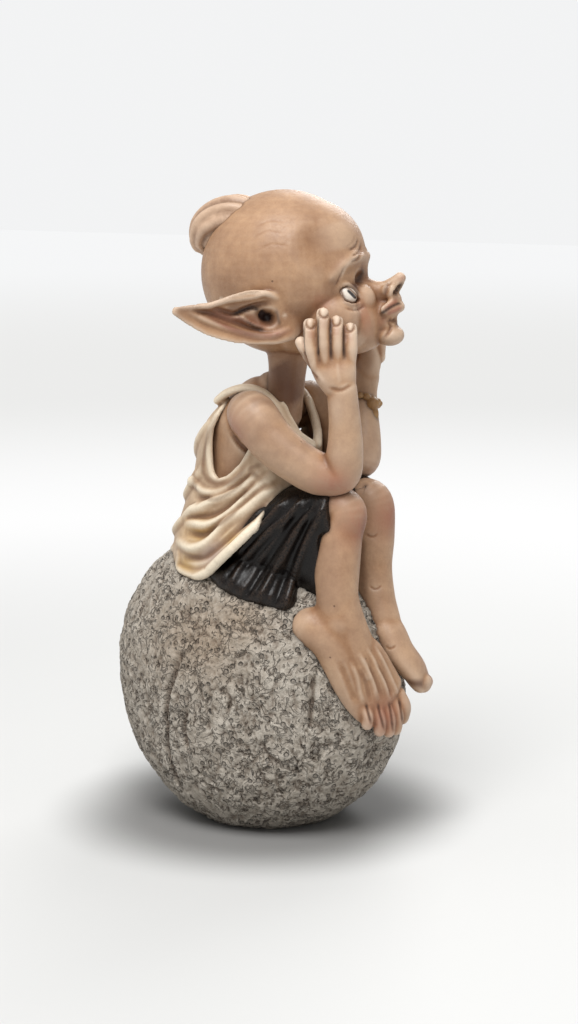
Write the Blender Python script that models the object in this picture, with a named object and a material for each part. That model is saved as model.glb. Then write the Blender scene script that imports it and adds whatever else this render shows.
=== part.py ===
"""A seated pixie figurine: a bald child-like figure on a rounded stone, cast as one piece.

The figure faces +X, its right side is -Y, +Z is up and the flat base of the stone is centred on the origin.
"""
import math

import bmesh
import bpy
import numpy as np
from mathutils import Matrix, Vector, noise
from mathutils.bvhtree import BVHTree

# Sizes in millimetres
SCALE = 0.001
STONE_LENGTH = 89.8
STONE_WIDTH = 63.0
STONE_HEIGHT = 84.8
STONE_LEAN = math.radians(-46)
STONE_CENTRE = (-0.53, 0.0, 39.4)
BASE_SPREAD = 0.34
SKULL_LENGTH = 46.2
SKULL_WIDTH = 41.0
SKULL_HEIGHT = 45.0
HEAD = (7.7, -0.5, 154.5)
HEAD_TURN = math.radians(15)
CLOTH = 1.7
RIM = 1.15
FINGER = 1.75
HEM = 3.2
HEM_STEP = 1.5
HEM_PROUD = 2.0
GRAIN = 0.62
TRIANGLES = 11600

# The view that the strokes are laid out on, from the front right
VIEW_TURN = math.radians(30)
VIEW_DROP = math.radians(10)
VIEW_POINT = (9.0, 0.0, 87.6)
VIEW_DISTANCE = 600.0

# Limbs: x, y, z, half width across, half thickness
TORSO = (
    (-4, 0, 66, 14, 14), (-5, 0, 72, 16.5, 16), (-5, 0, 79, 16.5, 16), (-5, 0, 88, 14, 14),
    (-4, 0, 98, 12.4, 12.4), (-2.5, 0, 107, 12.8, 12), (-0.5, 0, 113, 13.4, 11), (1.8, 0, 118, 10.5, 8.8),
    (4.5, 0, 121, 6, 6.3),
)
NECK = ((6.5, -1, 116, 6.5, 6.5), (8.4, -1.5, 121, 5.3, 5.4), (9.4, -1.5, 128, 5.1, 5.3), (9.5, -1, 137, 6, 7))
NEAR_ARM = (
    (3, -12, 115, 5.5, 6), (7.2, -16.8, 116.6, 6.6, 6.7), (13.2, -17, 110.4, 6.3, 6.3), (19.8, -15.8, 105.2, 5.9, 6),
    (26.4, -13.3, 101.5, 5.7, 5.8), (31.6, -11.4, 101.9, 5.3, 5.4), (33.2, -12, 107.8, 4.9, 5),
    (33.5, -12.4, 113.9, 4.4, 4.5), (33.3, -13, 119.9, 4.1, 4.2), (32.8, -13.3, 125.3, 3.6, 4.3),
)
NEAR_PALM = ((32.8, -13.4, 124.5, 4.2, 3.4), (31.6, -14, 128.4, 5.6, 3.2), (30.6, -14, 131.6, 6.2, 2.4))
FAR_ARM = (
    (3, 12, 115, 5.5, 6), (7, 16.6, 116.2, 6.5, 6.6), (12, 17.4, 110.4, 6.1, 6.2), (17.4, 15.8, 105.4, 5.7, 5.9),
    (22.4, 13.4, 102.1, 5.4, 5.5), (25.8, 12.2, 102.6, 4.9, 5), (25.6, 13.6, 107.8, 4.5, 4.6),
    (24, 16.2, 114.2, 3.9, 4.1), (22.3, 19, 119.8, 3.6, 3.9), (21.8, 21, 124.4, 3.5, 4.1),
)
FAR_PALM = ((21.8, 20.9, 123.5, 4.1, 3.4), (21.4, 22.4, 128, 5.6, 3.2), (20.2, 23.2, 131.4, 6.2, 2.4))
NEAR_LEG = (
    (4, -10, 82, 8, 8), (18, -9.6, 88, 7.4, 7.4), (28, -9, 91.3, 6.4, 6.4), (31.9, -9.2, 90.6, 5.8, 6),
    (31, -10, 84.7, 5.9, 6), (31, -12, 76.8, 6.1, 6.3), (32.1, -14, 69.8, 5.7, 5.8), (32.6, -15, 64.6, 5.2, 5.7),
)
FAR_LEG = (
    (4, 10, 82, 8, 8), (18, 9.2, 88, 7.4, 7.4), (27.4, 8.2, 91.2, 6.4, 6.4), (31, 8, 90.2, 6, 6.2),
    (31.2, 8.1, 81.8, 6, 6.2), (31.2, 7.2, 72.9, 5.8, 6), (33.6, 5.2, 64.5, 5.5, 5.8), (36.4, 3.8, 58.6, 5.2, 5.6),
)
NEAR_FOOT = (
    (26, -17.2, 60, 5.6, 5.6), (31.4, -15.6, 57, 6.8, 6.6), (36.8, -12.9, 50.6, 9, 5.4), (40, -10.6, 44.2, 9.3, 4.3),
    (42.2, -8.4, 39.9, 8.8, 3.2),
)
FAR_FOOT = (
    (33, 3.6, 55.4, 5, 4.8), (37.6, 3.4, 56, 5.6, 5.4), (42, 3.8, 50.6, 6.2, 4.3), (45, 6.2, 45, 7, 3.4),
    (46, 8, 41.8, 6.8, 2.8),
)
NEAR_TOES = (
    ((39.6, -14.4, 39.8), (41.6, -14, 34.1), 1.8), ((41.6, -11.4, 39.4), (43.6, -10.6, 31.8), 1.9),
    ((43.2, -8.4, 39.2), (44.8, -7.4, 30.9), 1.85), ((44.4, -5.4, 39.4), (45.4, -4.4, 30.9), 1.85),
    ((44.8, -2.6, 40.2), (45.5, -1.2, 33.6), 2.35),
)
FAR_TOES = (
    ((47.4, 3.4, 41.8), (48.6, 5.4, 38.7), 2.4), ((46.6, 6.6, 41.6), (47.8, 8.6, 38.5), 1.8),
    ((45.6, 9.2, 41.6), (46.8, 11.2, 38.5), 1.8), ((44.4, 11.6, 41.6), (45.6, 13.4, 38.7), 1.7),
    ((43.2, 13.8, 41.8), (44.2, 15.4, 39), 1.6),
)
NEAR_FINGERS = (
    ((26.9, -15.6, 129.8), (25.3, -16.6, 136.5), (24.3, -15.6, 142.2)),
    ((29.6, -15.2, 130.4), (28.6, -15.7, 138.5), (27.5, -14.2, 145)),
    ((32.3, -14, 130.4), (31.9, -14.1, 137.6), (30.7, -12.2, 142.9)),
    ((34.6, -12.4, 129.8), (34.9, -12, 136.4), (33.7, -10, 141)),
)
NEAR_THUMB = ((28.6, -13.4, 128), (24.6, -14, 131.6), (20.8, -14.2, 137))
NEAR_LAP = ((6, -10.2, 83, 9.4, 9.4), (18, -10, 88, 8.9, 8.8), (26, -9.7, 90.2, 7.9, 7.9), (30, -9.5, 90.8, 7.5, 7.5))
FAR_LAP = ((6, 10.2, 83, 9.4, 9.4), (18, 9.8, 88, 8.9, 8.8), (26, 8.9, 90.2, 7.8, 7.8), (29.4, 8.4, 90.8, 7.4, 7.4))
SKIRT = (
    (-20, 0, 74.5, 9, 4), (-14, 0, 76.5, 16, 8.6), (-5, 0, 79, 19, 11.4), (5, 0, 81, 20.4, 14),
    (15, 0, 82.2, 19.8, 15.6), (21.5, 0, 82, 18.6, 16), (27.2, 0, 79.8, 17, 17.2),
)

# The head, from its middle: forward, to its right, up
EAR = (
    (7, 15.5, -12.8, 4.4, 2.4), (3.2, 18.2, -11.8, 6.4, 2.2), (-1.8, 21.4, -10.6, 7.4, 1.7), (-7, 25.2, -10.8, 6.6, 1.4),
    (-12.2, 28.6, -10.8, 4.7, 1.2), (-16.6, 31, -9.9, 2.9, 1.1), (-20.8, 32.8, -8.6, 1.2, 0.9),
)
MUZZLE = (
    (4, 0, -11.5, 16, 11), (12, 0, -12.2, 14, 10.6), (18.5, 0, -12.6, 11.6, 9.8), (23, 0, -12.4, 9, 8.8),
    (26, 0, -12, 6.6, 7.2), (27.6, 0, -11.8, 4.4, 5.2),
)
NOSE = ((21, 0, -3.2, 3.2, 3), (25, 0, -4.8, 3, 3), (28.4, 0, -4.8, 2.6, 2.9), (31, 0, -2.9, 2.1, 2.3), (32.7, 0, -0.9, 1.4, 1.6))
UPPER_LIP = ((28.8, 5, -9, 0.6, 0.6), (30.4, 3.2, -8, 1, 1), (31.7, 1.4, -6.7, 1.2, 1.1), (31.9, 0, -6.6, 1.1, 1))
LOWER_LIP = ((28.8, 4.8, -9.9, 0.7, 0.7), (30.8, 3, -9.7, 1.3, 1.2), (32.1, 1.2, -9, 1.6, 1.6), (32.3, 0, -8.9, 1.6, 1.7))
BROW = ((17, 14.2, -0.4, 0.9, 0.9), (19.4, 11.2, 2.6, 1.4, 1.3), (21.2, 7.4, 4.4, 1.7, 1.5), (22.2, 3.4, 4.4, 1.7, 1.5), (22.2, 0, 3.6, 1.7, 1.5))
TOPKNOT = (
    (-7, 3, 15, 4, 3.6), (-11.5, 3.2, 15.6, 6, 4.8), (-16.5, 3, 14.6, 6.2, 5), (-20.8, 2.4, 11.8, 5.6, 4.6),
    (-22.6, 2, 8.2, 3.8, 3.4), (-21.8, 1.6, 6, 2, 2),
)
BRACELET = (22.8, 18.1, 118)

# Cloth edges by angle round the body, from the front: angle, upper edge, lower edge, both as heights
TUNIC = (
    (0, 107, 95), (12, 109, 96), (24, 115, 96.5), (34, 119, 96), (44, 118, 93), (54, 110, 86.5), (66, 102.5, 81),
    (80, 98.5, 76), (94, 97, 71.8), (106, 99.5, 70.2), (116, 108, 69.6), (128, 116.5, 69.4), (146, 120.5, 69.6),
    (164, 121, 70), (180, 121, 70.2),
)
STRAP = (
    (-8.8, -8.4, 119), (-5, -9.6, 121.4), (0.6, -9.9, 123), (5.8, -9.4, 122), (9.8, -8.8, 118.8),
    (12.2, -7.8, 114.6), (15, -5.4, 110.4), (17.2, -1.6, 107.4),
)

# Strokes as seen in the view: height and reach, then points across and up from its middle
CLOTH_STROKES = (
    # folds of the tunic
    (1.4, 2.2, ((-28.3, -0.3), (-21.6, 2.8), (-13.7, 6.2), (-9, 10.4))),
    (1.4, 2.2, ((-28.6, -2.8), (-22.7, -3.6), (-17.1, -0.8), (-10.9, 4.8), (-5.3, 9.8))),
    (1.3, 2.1, ((-31.1, -8.4), (-27.2, -10.1), (-22.7, -8.4), (-17.9, -3.6), (-12.9, 0), (-3.4, 6.7))),
    (1.1, 2, ((-31.1, -12), (-26.3, -17.6), (-20.2, -14.3), (-16.5, -10.6), (-11.5, -5.9), (-3.1, 3.9))),
    (-1, 1.6, ((-27.7, -1.7), (-21, -0.6), (-15.4, 2.5), (-9.8, 7.3))),
    (-1.1, 1.8, ((-28.8, -5.9), (-23.8, -6.2), (-18.8, -2.8), (-7, 7.3))),
    (-0.9, 1.6, ((-28.8, -12.9), (-23.8, -12.6), (-18.8, -8.7), (-5.9, 2.5))),
    # pleats of the skirt
    (1, 1.8, ((0.8, 0), (-3.4, -4.2), (-9.5, -10.6), (-14.3, -16.8))),
    (1, 1.7, ((4.8, -0.6), (2, -5.6), (-1.7, -12.3), (-6.4, -20.7))),
    (0.9, 1.6, ((7.6, -2.2), (5.6, -6.4), (3.1, -12.9), (-0.3, -23.5))),
    (-1, 1.6, ((3.1, 0), (-0.8, -5.6), (-5.3, -12.3), (-10.9, -21.3))),
    (-0.9, 1.5, ((6.4, -1.1), (3.9, -6.2), (0.8, -12.9), (-3.1, -23))),
    (0.8, 1.5, ((-3.1, -2.8), (-7.6, -7.3), (-12.6, -12.3), (-17.6, -16.8))),
    # crease at the armpit
    (-1.0, 1.3, ((-15.7, 21.6), (-13.4, 18.5), (-9.2, 14.8))),
)
STROKES = (
    # tendons of the near foot
    (0.5, 1, ((17.6, -42.6), (19, -46.2), (20.7, -53.2))),
    (0.5, 1, ((19.9, -40), (21.8, -43.7), (24.6, -52.1))),
    (0.5, 1, ((22.1, -38.6), (24.4, -42.8), (28, -51.8))),
    (0.5, 1, ((24.4, -38.1), (26.6, -42.3), (30.5, -51))),
    # crease of the wrist
    (-0.5, 0.8, ((11.5, 35), (14.5, 34.4), (17.6, 36))),
    # back of the near hand
    (0.45, 0.9, ((7.6, 43.4), (6.8, 48), (6.6, 53))),
    (0.45, 0.9, ((10.4, 43.8), (10, 48), (10.2, 54))),
    (0.4, 0.9, ((13.2, 43.8), (13.2, 48), (13.4, 53))),
    # lines on the forehead
    (-0.45, 0.8, ((18.6, 75.6), (20.6, 74.6), (21.4, 72))),
    (-0.4, 0.8, ((17.4, 72.4), (19.6, 71.6), (20.8, 69.4))),
    # grooves of the hair
    (-0.6, 1.1, ((-14, 86.2), (-19, 85.4), (-24, 82), (-26, 77))),
    (-0.6, 1.1, ((-16, 83), (-20.4, 81.4), (-23, 78), (-22.6, 74.6))),
    # cracks of the stone
    (-1.0, 1.1, ((-29.9, -39.8), (-33.9, -50.7), (-34.4, -59.4), (-33.6, -69.4), (-30.5, -76.4))),
    (-0.7, 0.9, ((-28.5, -55.2), (-29, -61), (-28.4, -66))),
    (-0.8, 0.9, ((7, -47), (6.8, -53), (6.2, -60))),
)
# Rims and grooves of the ears
EAR_STROKES = (
    (0.6, 1.2, ((-27.7, 57.1), (-22.7, 57.7), (-17.4, 59.1), (-10.1, 60.2), (-3.6, 59.9))),
    (0.6, 1.2, ((-27.7, 55.7), (-22.1, 53.2), (-16.5, 51.2), (-10.1, 49.6), (-0.3, 51.2))),
    (-1, 1.4, ((-20.4, 56.8), (-15.7, 55.4), (-12.6, 56.6), (-9.2, 57.7), (-5.9, 58.2))),
    (-0.7, 1.2, ((-24.9, 56), (-15.7, 53.2), (-10.4, 51.5), (-5.3, 50.7))),
)
# Outline of the skirt where it lies on the stone
DRAPE = (
    (-23.8, -15.1), (-18.8, -21.6), (-12, -24.9), (-5.3, -26.6), (0.6, -28.3), (1.7, -24.6), (2.2, -19.9), (4.2, -13.4),
    (8.1, -9.2), (3, -5), (-8, -6.4), (-18.8, -12.3),
)
# Folds behind the tunic: height and reach, then points as angle and height
BACK_FOLDS = (
    (1.1, 2.2, ((-132, 113), (-158, 104), (178, 101), (156, 104), (132, 113))),
    (1.2, 2.3, ((-120, 100), (-150, 92), (180, 89.6), (150, 92), (120, 100))),
    (1.1, 2.2, ((-112, 90), (-146, 82), (-178, 79.4), (146, 83), (112, 90))),
    (0.9, 1.8, ((-140, 77), (-166, 74.4), (170, 74.6), (140, 78))),
)
HOLLOWS = (
    # forward, right and up from the head's middle, then depth and reach
    (22.4, 4.2, -3, 1.3, 2.4), (22.4, -4.2, -3, 1.3, 2.4), (15.4, 12.6, -5.4, 0.9, 2.2), (15.4, -12.6, -5.4, 0.9, 2.2),
    (0.5, 21, -11.5, 2.0, 3.4), (0.5, -21, -11.5, 2.0, 3.4), (31.6, 1.8, -3.6, 0.9, 1.1), (31.6, -1.8, -3.6, 0.9, 1.1),
)


def clear_scene():
    """Takes the startup objects away."""
    for item in list(bpy.data.objects):
        bpy.data.objects.remove(item)


def turned(degrees_as_radians):
    """Forward and left as seen by the turned head."""
    c = math.cos(degrees_as_radians)
    s = math.sin(degrees_as_radians)
    return np.array((c, s, 0.0)), np.array((-s, c, 0.0))


def on_head(forward, right, up):
    """A point of the head in the figure's own frame."""
    ahead, left = turned(HEAD_TURN)
    return np.array(HEAD) + forward * ahead - right * left + np.array((0.0, 0.0, up))


def mirrored(rows):
    """The same rows on the head's other side."""
    return tuple((row[0], -row[1]) + tuple(row[2:]) for row in rows)


def head_rows(rows):
    """Rows given from the head's middle, in the figure's frame."""
    return tuple(tuple(on_head(*row[:3])) + tuple(row[3:]) for row in rows)


def across_head(point):
    """The point mirrored to the head's other side."""
    ahead, left = turned(HEAD_TURN)
    offset = np.array(point) - np.array(HEAD)
    return tuple(np.array(HEAD) + offset - 2 * float(offset @ left) * left)


def smooth_path(rows, per):
    """A smooth curve through the rows."""
    p = np.array(rows, float)
    p = np.vstack([2 * p[0] - p[1], p, 2 * p[-1] - p[-2]])
    out = []
    for i in range(1, len(p) - 2):
        a, b, c, d = p[i - 1:i + 3]
        for t in np.linspace(0, 1, per, endpoint=False):
            out.append(0.5 * (2 * b + (c - a) * t + (2 * a - 5 * b + 4 * c - d) * t * t + (3 * b - a - 3 * c + d) * t ** 3))
    out.append(p[-2])
    return np.array(out)


def unit(rows):
    """Each row at length one."""
    return rows / np.maximum(np.linalg.norm(rows, axis=-1, keepdims=True), 1e-9)


def add_rings(form, rings):
    """Closed skin over a run of rings."""
    loops = [[form.verts.new(point) for point in ring] for ring in rings]
    count = len(loops[0])
    for low, high in zip(loops, loops[1:]):
        for i in range(count):
            form.faces.new((low[i], low[(i + 1) % count], high[(i + 1) % count], high[i]))
    form.faces.new(loops[0][::-1])
    form.faces.new(loops[-1])


def end_rings(path, size, round_ends, steps=4):
    """The path with rounded ends added."""
    way = unit(np.gradient(path, axis=0))
    if not round_ends:
        return list(zip(path, size, way))
    turns = [math.pi / 2 * k / steps for k in range(steps - 1, 0, -1)]
    first = [(path[0] - way[0] * min(size[0]) * math.sin(t), size[0] * math.cos(t), way[0]) for t in turns]
    last = [(path[-1] + way[-1] * min(size[-1]) * math.sin(t), size[-1] * math.cos(t), way[-1]) for t in turns[::-1]]
    return first + list(zip(path, size, way)) + last


def limb(form, rows, across=(0, 1, 0), cup=0.0, per=5, seg=20, square=1.0, round_ends=True):
    """A rounded limb through rows of point and half sizes."""
    path = smooth_path(rows, per)
    rings = []
    angle = np.linspace(0, 2 * math.pi, seg, endpoint=False)
    cos, sin = np.cos(angle), np.sin(angle)
    cos = np.sign(cos) * np.abs(cos) ** square
    sin = np.sign(sin) * np.abs(sin) ** square
    for centre, size, way in end_rings(path[:, :3], np.maximum(path[:, 3:5], 0.3), round_ends):
        side = np.array(across, float) - np.dot(across, way) * way
        side = side / np.linalg.norm(side)
        lift = np.cross(way, side)
        rise = sin * size[1] + cup * size[0] * (cos ** 2 - 0.5)
        rings.append(centre + np.outer(cos * size[0], side) + np.outer(rise, lift))
    add_rings(form, rings)


def ball(form, centre, radii, turn=None, fine=4):
    """An egg at a point."""
    place = Matrix.Translation(Vector(centre))
    if turn is not None:
        place = place @ turn
    place = place @ Matrix.Diagonal((*radii, 1.0))
    return bmesh.ops.create_icosphere(form, subdivisions=fine, radius=1.0, matrix=place)["verts"]


def head_ball(form, place, radii):
    """An egg in the head's frame."""
    ball(form, on_head(*place), radii, Matrix.Rotation(HEAD_TURN, 4, "Z"))


def add_stone(form):
    """The stone, leaning back and broader towards its base."""
    sizes = (STONE_LENGTH / 2, STONE_WIDTH / 2, STONE_HEIGHT / 2)
    for vert in ball(form, STONE_CENTRE, sizes, Matrix.Rotation(-STONE_LEAN, 4, "Y")):
        vert.co.y *= base_spread(vert.co.z)


def base_spread(height):
    """How much broader the stone is at a height below its middle."""
    return 1 + BASE_SPREAD * np.clip((STONE_CENTRE[2] - height) / STONE_CENTRE[2], 0, 1) ** 2


def add_drape(form):
    """The hem of the skirt, laid on the bare stone on both sides."""
    tree = BVHTree.FromBMesh(form)
    low, high = np.min(DRAPE, axis=0), np.max(DRAPE, axis=0)
    for across in np.arange(low[0], high[0], HEM_STEP):
        for rise in np.arange(low[1], high[1], HEM_STEP):
            if not well_inside(DRAPE, np.array((across, rise)), HEM * 0.8):
                continue
            for spot, normal in laid_on(tree, ((across, rise),)):
                centre = spot - normal * (HEM - HEM_PROUD)
                for side in (1, -1):
                    ball(form, centre * (1, side, 1), (HEM, HEM, HEM), fine=2)


def well_inside(outline, spot, margin):
    """Whether a view point lies this far inside an outline."""
    crossings = 0
    for a, b in zip(outline, outline[1:] + outline[:1]):
        a, b = np.array(a), np.array(b)
        t = np.clip((spot - a) @ (b - a) / ((b - a) @ (b - a)), 0, 1)
        if np.linalg.norm(spot - a - t * (b - a)) < margin:
            return False
        if (a[1] > spot[1]) != (b[1] > spot[1]):
            crossings += spot[0] < (b[0] - a[0]) * (spot[1] - a[1]) / (b[1] - a[1]) + a[0]
    return crossings % 2 == 1


def add_fingers(form, fingers, across):
    """Slender fingers, a little flatter than round."""
    for points in fingers:
        rows = [tuple(p) + (FINGER, FINGER * 0.92) for p in points]
        rows[-1] = rows[-1][:3] + (FINGER * 0.86, FINGER * 0.78)
        limb(form, rows, across, per=4, seg=12)


def add_toes(form, toes):
    """Short toes that bend down at the tip."""
    for root, tip, half in toes:
        middle = [(a + b) / 2 for a, b in zip(root, tip)]
        middle[0] += 1.1
        rows = (tuple(root) + (half, half), tuple(middle) + (half, half * 0.95), tuple(tip) + (half * 0.95, half * 0.85))
        limb(form, rows, per=4, seg=12)


def add_head(form):
    """Skull, face, ears and neck."""
    head_ball(form, (0.1, 0, 0), (SKULL_LENGTH / 2, SKULL_WIDTH / 2, SKULL_HEIGHT / 2))
    head_ball(form, (6, 0, 5), (16.6, 16.5, 15.4))
    limb(form, head_rows(MUZZLE), turned(HEAD_TURN)[1], seg=28)
    limb(form, head_rows(NOSE), turned(HEAD_TURN)[1])
    head_ball(form, (29.8, 0, -16.6), (4.1, 4.2, 3))
    head_ball(form, (20.4, 0, 0.8), (3.2, 4, 4.6))
    limb(form, NECK)
    for side in (-1, 1):
        ball(form, (2.6, 8.4 * side, 117), (7.2, 7, 5.6))
    for flip in (tuple, mirrored):
        head_ball(form, flip(((15, 9.2, -12),))[0], (8.6, 6.4, 8))
        head_ball(form, flip(((18.7, 7.5, -5.2),))[0], (3.4, 3.4, 3.3))
        head_ball(form, flip(((30, 2.2, -4.4),))[0], (2, 1.4, 2))
        head_ball(form, flip(((22.4, 3.8, -7),))[0], (4.4, 3.4, 4.6))
        limb(form, head_rows(flip(BROW)), (0, 0, 1), seg=12)
        limb(form, head_rows(flip(UPPER_LIP)), (0, 0, 1), seg=12)
        limb(form, head_rows(flip(LOWER_LIP)), (0, 0, 1), seg=12)
    limb(form, head_rows(EAR), (0, 0, 1), cup=-0.42, seg=28)
    limb(form, head_rows(mirrored(EAR)), (0, 0, 1), cup=0.42, seg=28)
    limb(form, head_rows(TOPKNOT), turned(HEAD_TURN)[1])


def add_limbs(form):
    """Body, arms, hands, legs and feet."""
    limb(form, TORSO, seg=36)
    for rows in (NEAR_ARM, FAR_ARM, NEAR_LEG, FAR_LEG):
        limb(form, rows, (0, 1, 0), seg=24)
    limb(form, NEAR_PALM, (0.9, 0.35, 0), seg=20)
    limb(form, FAR_PALM, (0.86, -0.5, 0), seg=20)
    add_fingers(form, NEAR_FINGERS, (0.9, 0.35, 0))
    add_fingers(form, [[across_head(p) for p in row] for row in NEAR_FINGERS], (0.86, -0.5, 0))
    add_fingers(form, (NEAR_THUMB, [across_head(p) for p in NEAR_THUMB]), (0, 1, 0))
    limb(form, NEAR_FOOT, (0.34, 0.75, 0.57), seg=24)
    limb(form, FAR_FOOT, (-0.4, 0.92, 0), seg=24)
    ball(form, (33.2, -14.6, 61), (6, 6.2, 6.4))
    add_toes(form, NEAR_TOES)
    add_toes(form, FAR_TOES)
    for k in range(14):
        turn = 2 * math.pi * k / 14
        spot = np.array(BRACELET) + (4.3 * math.cos(turn), 4.2 * math.sin(turn), -2 * math.sin(turn))
        ball(form, spot, (1.15, 1.15, 1.0))
    ball(form, np.array(BRACELET) + (4.4, -2.6, -0.4), (1.9, 1.7, 1.8))
    ball(form, np.array(BRACELET) + (4.8, -2.4, -3.4), (1.2, 1.1, 2.2))


def body_point(angle, height, off, loose=1.0):
    """A point round the body at a height, this far out, with the cloth hanging loose or not."""
    rows = smooth_path(TORSO, 8)
    x, hy, hx = (np.interp(height, rows[:, 2], rows[:, k]) for k in (0, 3, 4))
    low = np.clip((96 - height) / 16, 0, 1)
    front = math.exp(-(angle / math.radians(38)) ** 2) * np.clip((119 - height) / 12, 0, 1)
    back = np.clip(abs(angle) / math.pi - 0.5, 0, 0.5) * 2
    out = off + loose * (1.4 + (2.2 - 1.6 * back) * low + 5.0 * front)
    return x + (hx + out) * math.cos(angle), (hy + out) * math.sin(angle), height


def cloth_edges(angle):
    """Upper and lower edge of the tunic at an angle."""
    table = np.array(TUNIC, float)
    at = abs(math.degrees(angle))
    return np.interp(at, table[:, 0], table[:, 1]), np.interp(at, table[:, 0], table[:, 2])


def add_tunic(form, around=120, high=30):
    """The loose tunic: a shell with rolled edges and straps."""
    angles = np.linspace(-math.pi, math.pi, around, endpoint=False)
    shell = []
    for off, loose in ((CLOTH, 1.0), (-1.5, 0.0)):
        for k in range(high + 1):
            row = []
            for angle in angles:
                top, low = cloth_edges(angle)
                row.append(body_point(angle, low + (top - low) * k / high, off, loose))
            shell.append(row)
    rows = shell[:high + 1] + shell[high + 1:][::-1]
    loops = [[form.verts.new(point) for point in row] for row in rows]
    for low, top in zip(loops, loops[1:] + loops[:1]):
        for i in range(around):
            form.faces.new((low[i], low[(i + 1) % around], top[(i + 1) % around], top[i]))
    for edge in (0, 1):
        rim = [body_point(angle, cloth_edges(angle)[edge], CLOTH - RIM * 0.6) + (RIM, RIM) for angle in angles[::3]]
        closed_rim(form, rim)
    for side in (1, -1):
        rows = [(x, y * side, z, 1.9 - 0.08 * i, 1.3) for i, (x, y, z) in enumerate(STRAP)]
        limb(form, rows, (0, 1, 0.2 * side), seg=14)


def closed_rim(form, rows, seg=10):
    """A round bead that closes on itself."""
    path = np.array(rows)
    way = unit(np.roll(path[:, :3], -1, axis=0) - np.roll(path[:, :3], 1, axis=0))
    out = unit(path[:, :3] * (1, 1, 0) - np.mean(path[:, :3], axis=0) * (1, 1, 0))
    lift = np.cross(way, out)
    loops = []
    for point, side, up in zip(path, out, lift):
        turns = [2 * math.pi * k / seg for k in range(seg)]
        ring = [point[:3] + (side * math.cos(t) + up * math.sin(t)) * point[3] for t in turns]
        loops.append([form.verts.new(p) for p in ring])
    for low, top in zip(loops, loops[1:] + loops[:1]):
        for i in range(seg):
            form.faces.new((low[i], low[(i + 1) % seg], top[(i + 1) % seg], top[i]))


def fused():
    """All forms as one closed skin."""
    form = bmesh.new()
    add_stone(form)
    add_drape(form)
    add_limbs(form)
    limb(form, SKIRT, (0, 1, 0), seg=32, square=0.82, round_ends=False)
    for rows in (NEAR_LAP, FAR_LAP):
        limb(form, rows, (0, 1, 0), seg=28, round_ends=False)
    add_tunic(form)
    add_head(form)
    bmesh.ops.recalc_face_normals(form, faces=form.faces)
    mesh = bpy.data.meshes.new("pixie_figurine")
    form.to_mesh(mesh)
    form.free()
    part = bpy.data.objects.new("pixie_figurine", mesh)
    bpy.context.collection.objects.link(part)
    return part


def bake(part):
    """Turns the modifiers into plain mesh."""
    graph = bpy.context.evaluated_depsgraph_get()
    mesh = bpy.data.meshes.new_from_object(part.evaluated_get(graph))
    part.modifiers.clear()
    part.data = mesh


def remesh(part):
    """One even skin, joints softened."""
    step = part.modifiers.new("skin", "REMESH")
    step.mode = "VOXEL"
    step.voxel_size = GRAIN
    soft = part.modifiers.new("soft", "SMOOTH")
    soft.factor = 0.5
    soft.iterations = 3
    bake(part)


def keep_outer(part):
    """Drops the closed pockets inside the skin."""
    form = bmesh.new()
    form.from_mesh(part.data)
    form.verts.ensure_lookup_table()
    seen, largest = set(), []
    for start in form.verts:
        if start.index in seen:
            continue
        seen.add(start.index)
        island = [start]
        for vert in island:
            for edge in vert.link_edges:
                other = edge.other_vert(vert)
                if other.index not in seen:
                    seen.add(other.index)
                    island.append(other)
        largest = max(largest, island, key=len)
    keep = set(largest)
    bmesh.ops.delete(form, geom=[vert for vert in form.verts if vert not in keep], context="VERTS")
    form.to_mesh(part.data)
    form.free()


def reading(mesh):
    """Points and normals as arrays."""
    co = np.empty(len(mesh.vertices) * 3, np.float32)
    no = np.empty(len(mesh.vertices) * 3, np.float32)
    mesh.vertices.foreach_get("co", co)
    mesh.vertices.foreach_get("normal", no)
    return co.reshape(-1, 3).astype(float), no.reshape(-1, 3).astype(float)


def writing(mesh, co):
    """Puts moved points back."""
    mesh.vertices.foreach_set("co", co.astype(np.float32).ravel())
    mesh.update()


def view_axes():
    """Eye, right, up and forward of the view."""
    c, s = math.cos(VIEW_TURN), math.sin(VIEW_TURN)
    right = np.array((c, s, 0.0))
    ahead = np.array((-s * math.cos(VIEW_DROP), c * math.cos(VIEW_DROP), -math.sin(VIEW_DROP)))
    up = np.cross(right, ahead)
    return np.array(VIEW_POINT) - ahead * VIEW_DISTANCE, right, up, ahead


def laid_on(tree, points, side=1):
    """View points dropped on the surface in front of them, from this side or the mirrored one."""
    eye, right, up, ahead = (axis * (1, side, 1) for axis in view_axes())
    found = []
    for across, rise in points:
        aim = ahead * VIEW_DISTANCE + right * across + up * rise
        hit, normal, _, _ = tree.ray_cast(Vector(eye), Vector(aim).normalized())
        if hit is not None:
            found.append((np.array(hit), np.array(normal)))
    return found


def press(co, no, found, height, reach):
    """Raises or sinks the surface along a run of points."""
    spots = np.array([spot for spot, _ in found])
    facing = np.array([normal for _, normal in found])
    near = np.all((co > spots.min(axis=0) - reach) & (co < spots.max(axis=0) + reach), axis=1)
    index = np.nonzero(near)[0]
    gap = np.linalg.norm(co[index, None, :] - spots[None, :, :], axis=2)
    nearest = gap.argmin(axis=1)
    gap = gap[np.arange(len(index)), nearest]
    end = np.minimum(nearest, len(spots) - 1 - nearest) / max(len(spots) / 5, 1)
    agree = np.sum(no[index] * facing[nearest], axis=1) > 0.1
    amount = np.where(agree, np.clip(1 - (gap / reach) ** 2, 0, 1) ** 2 * np.clip(0.35 + end, 0, 1), 0)
    co[index] += no[index] * (height * amount)[:, None]


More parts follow.
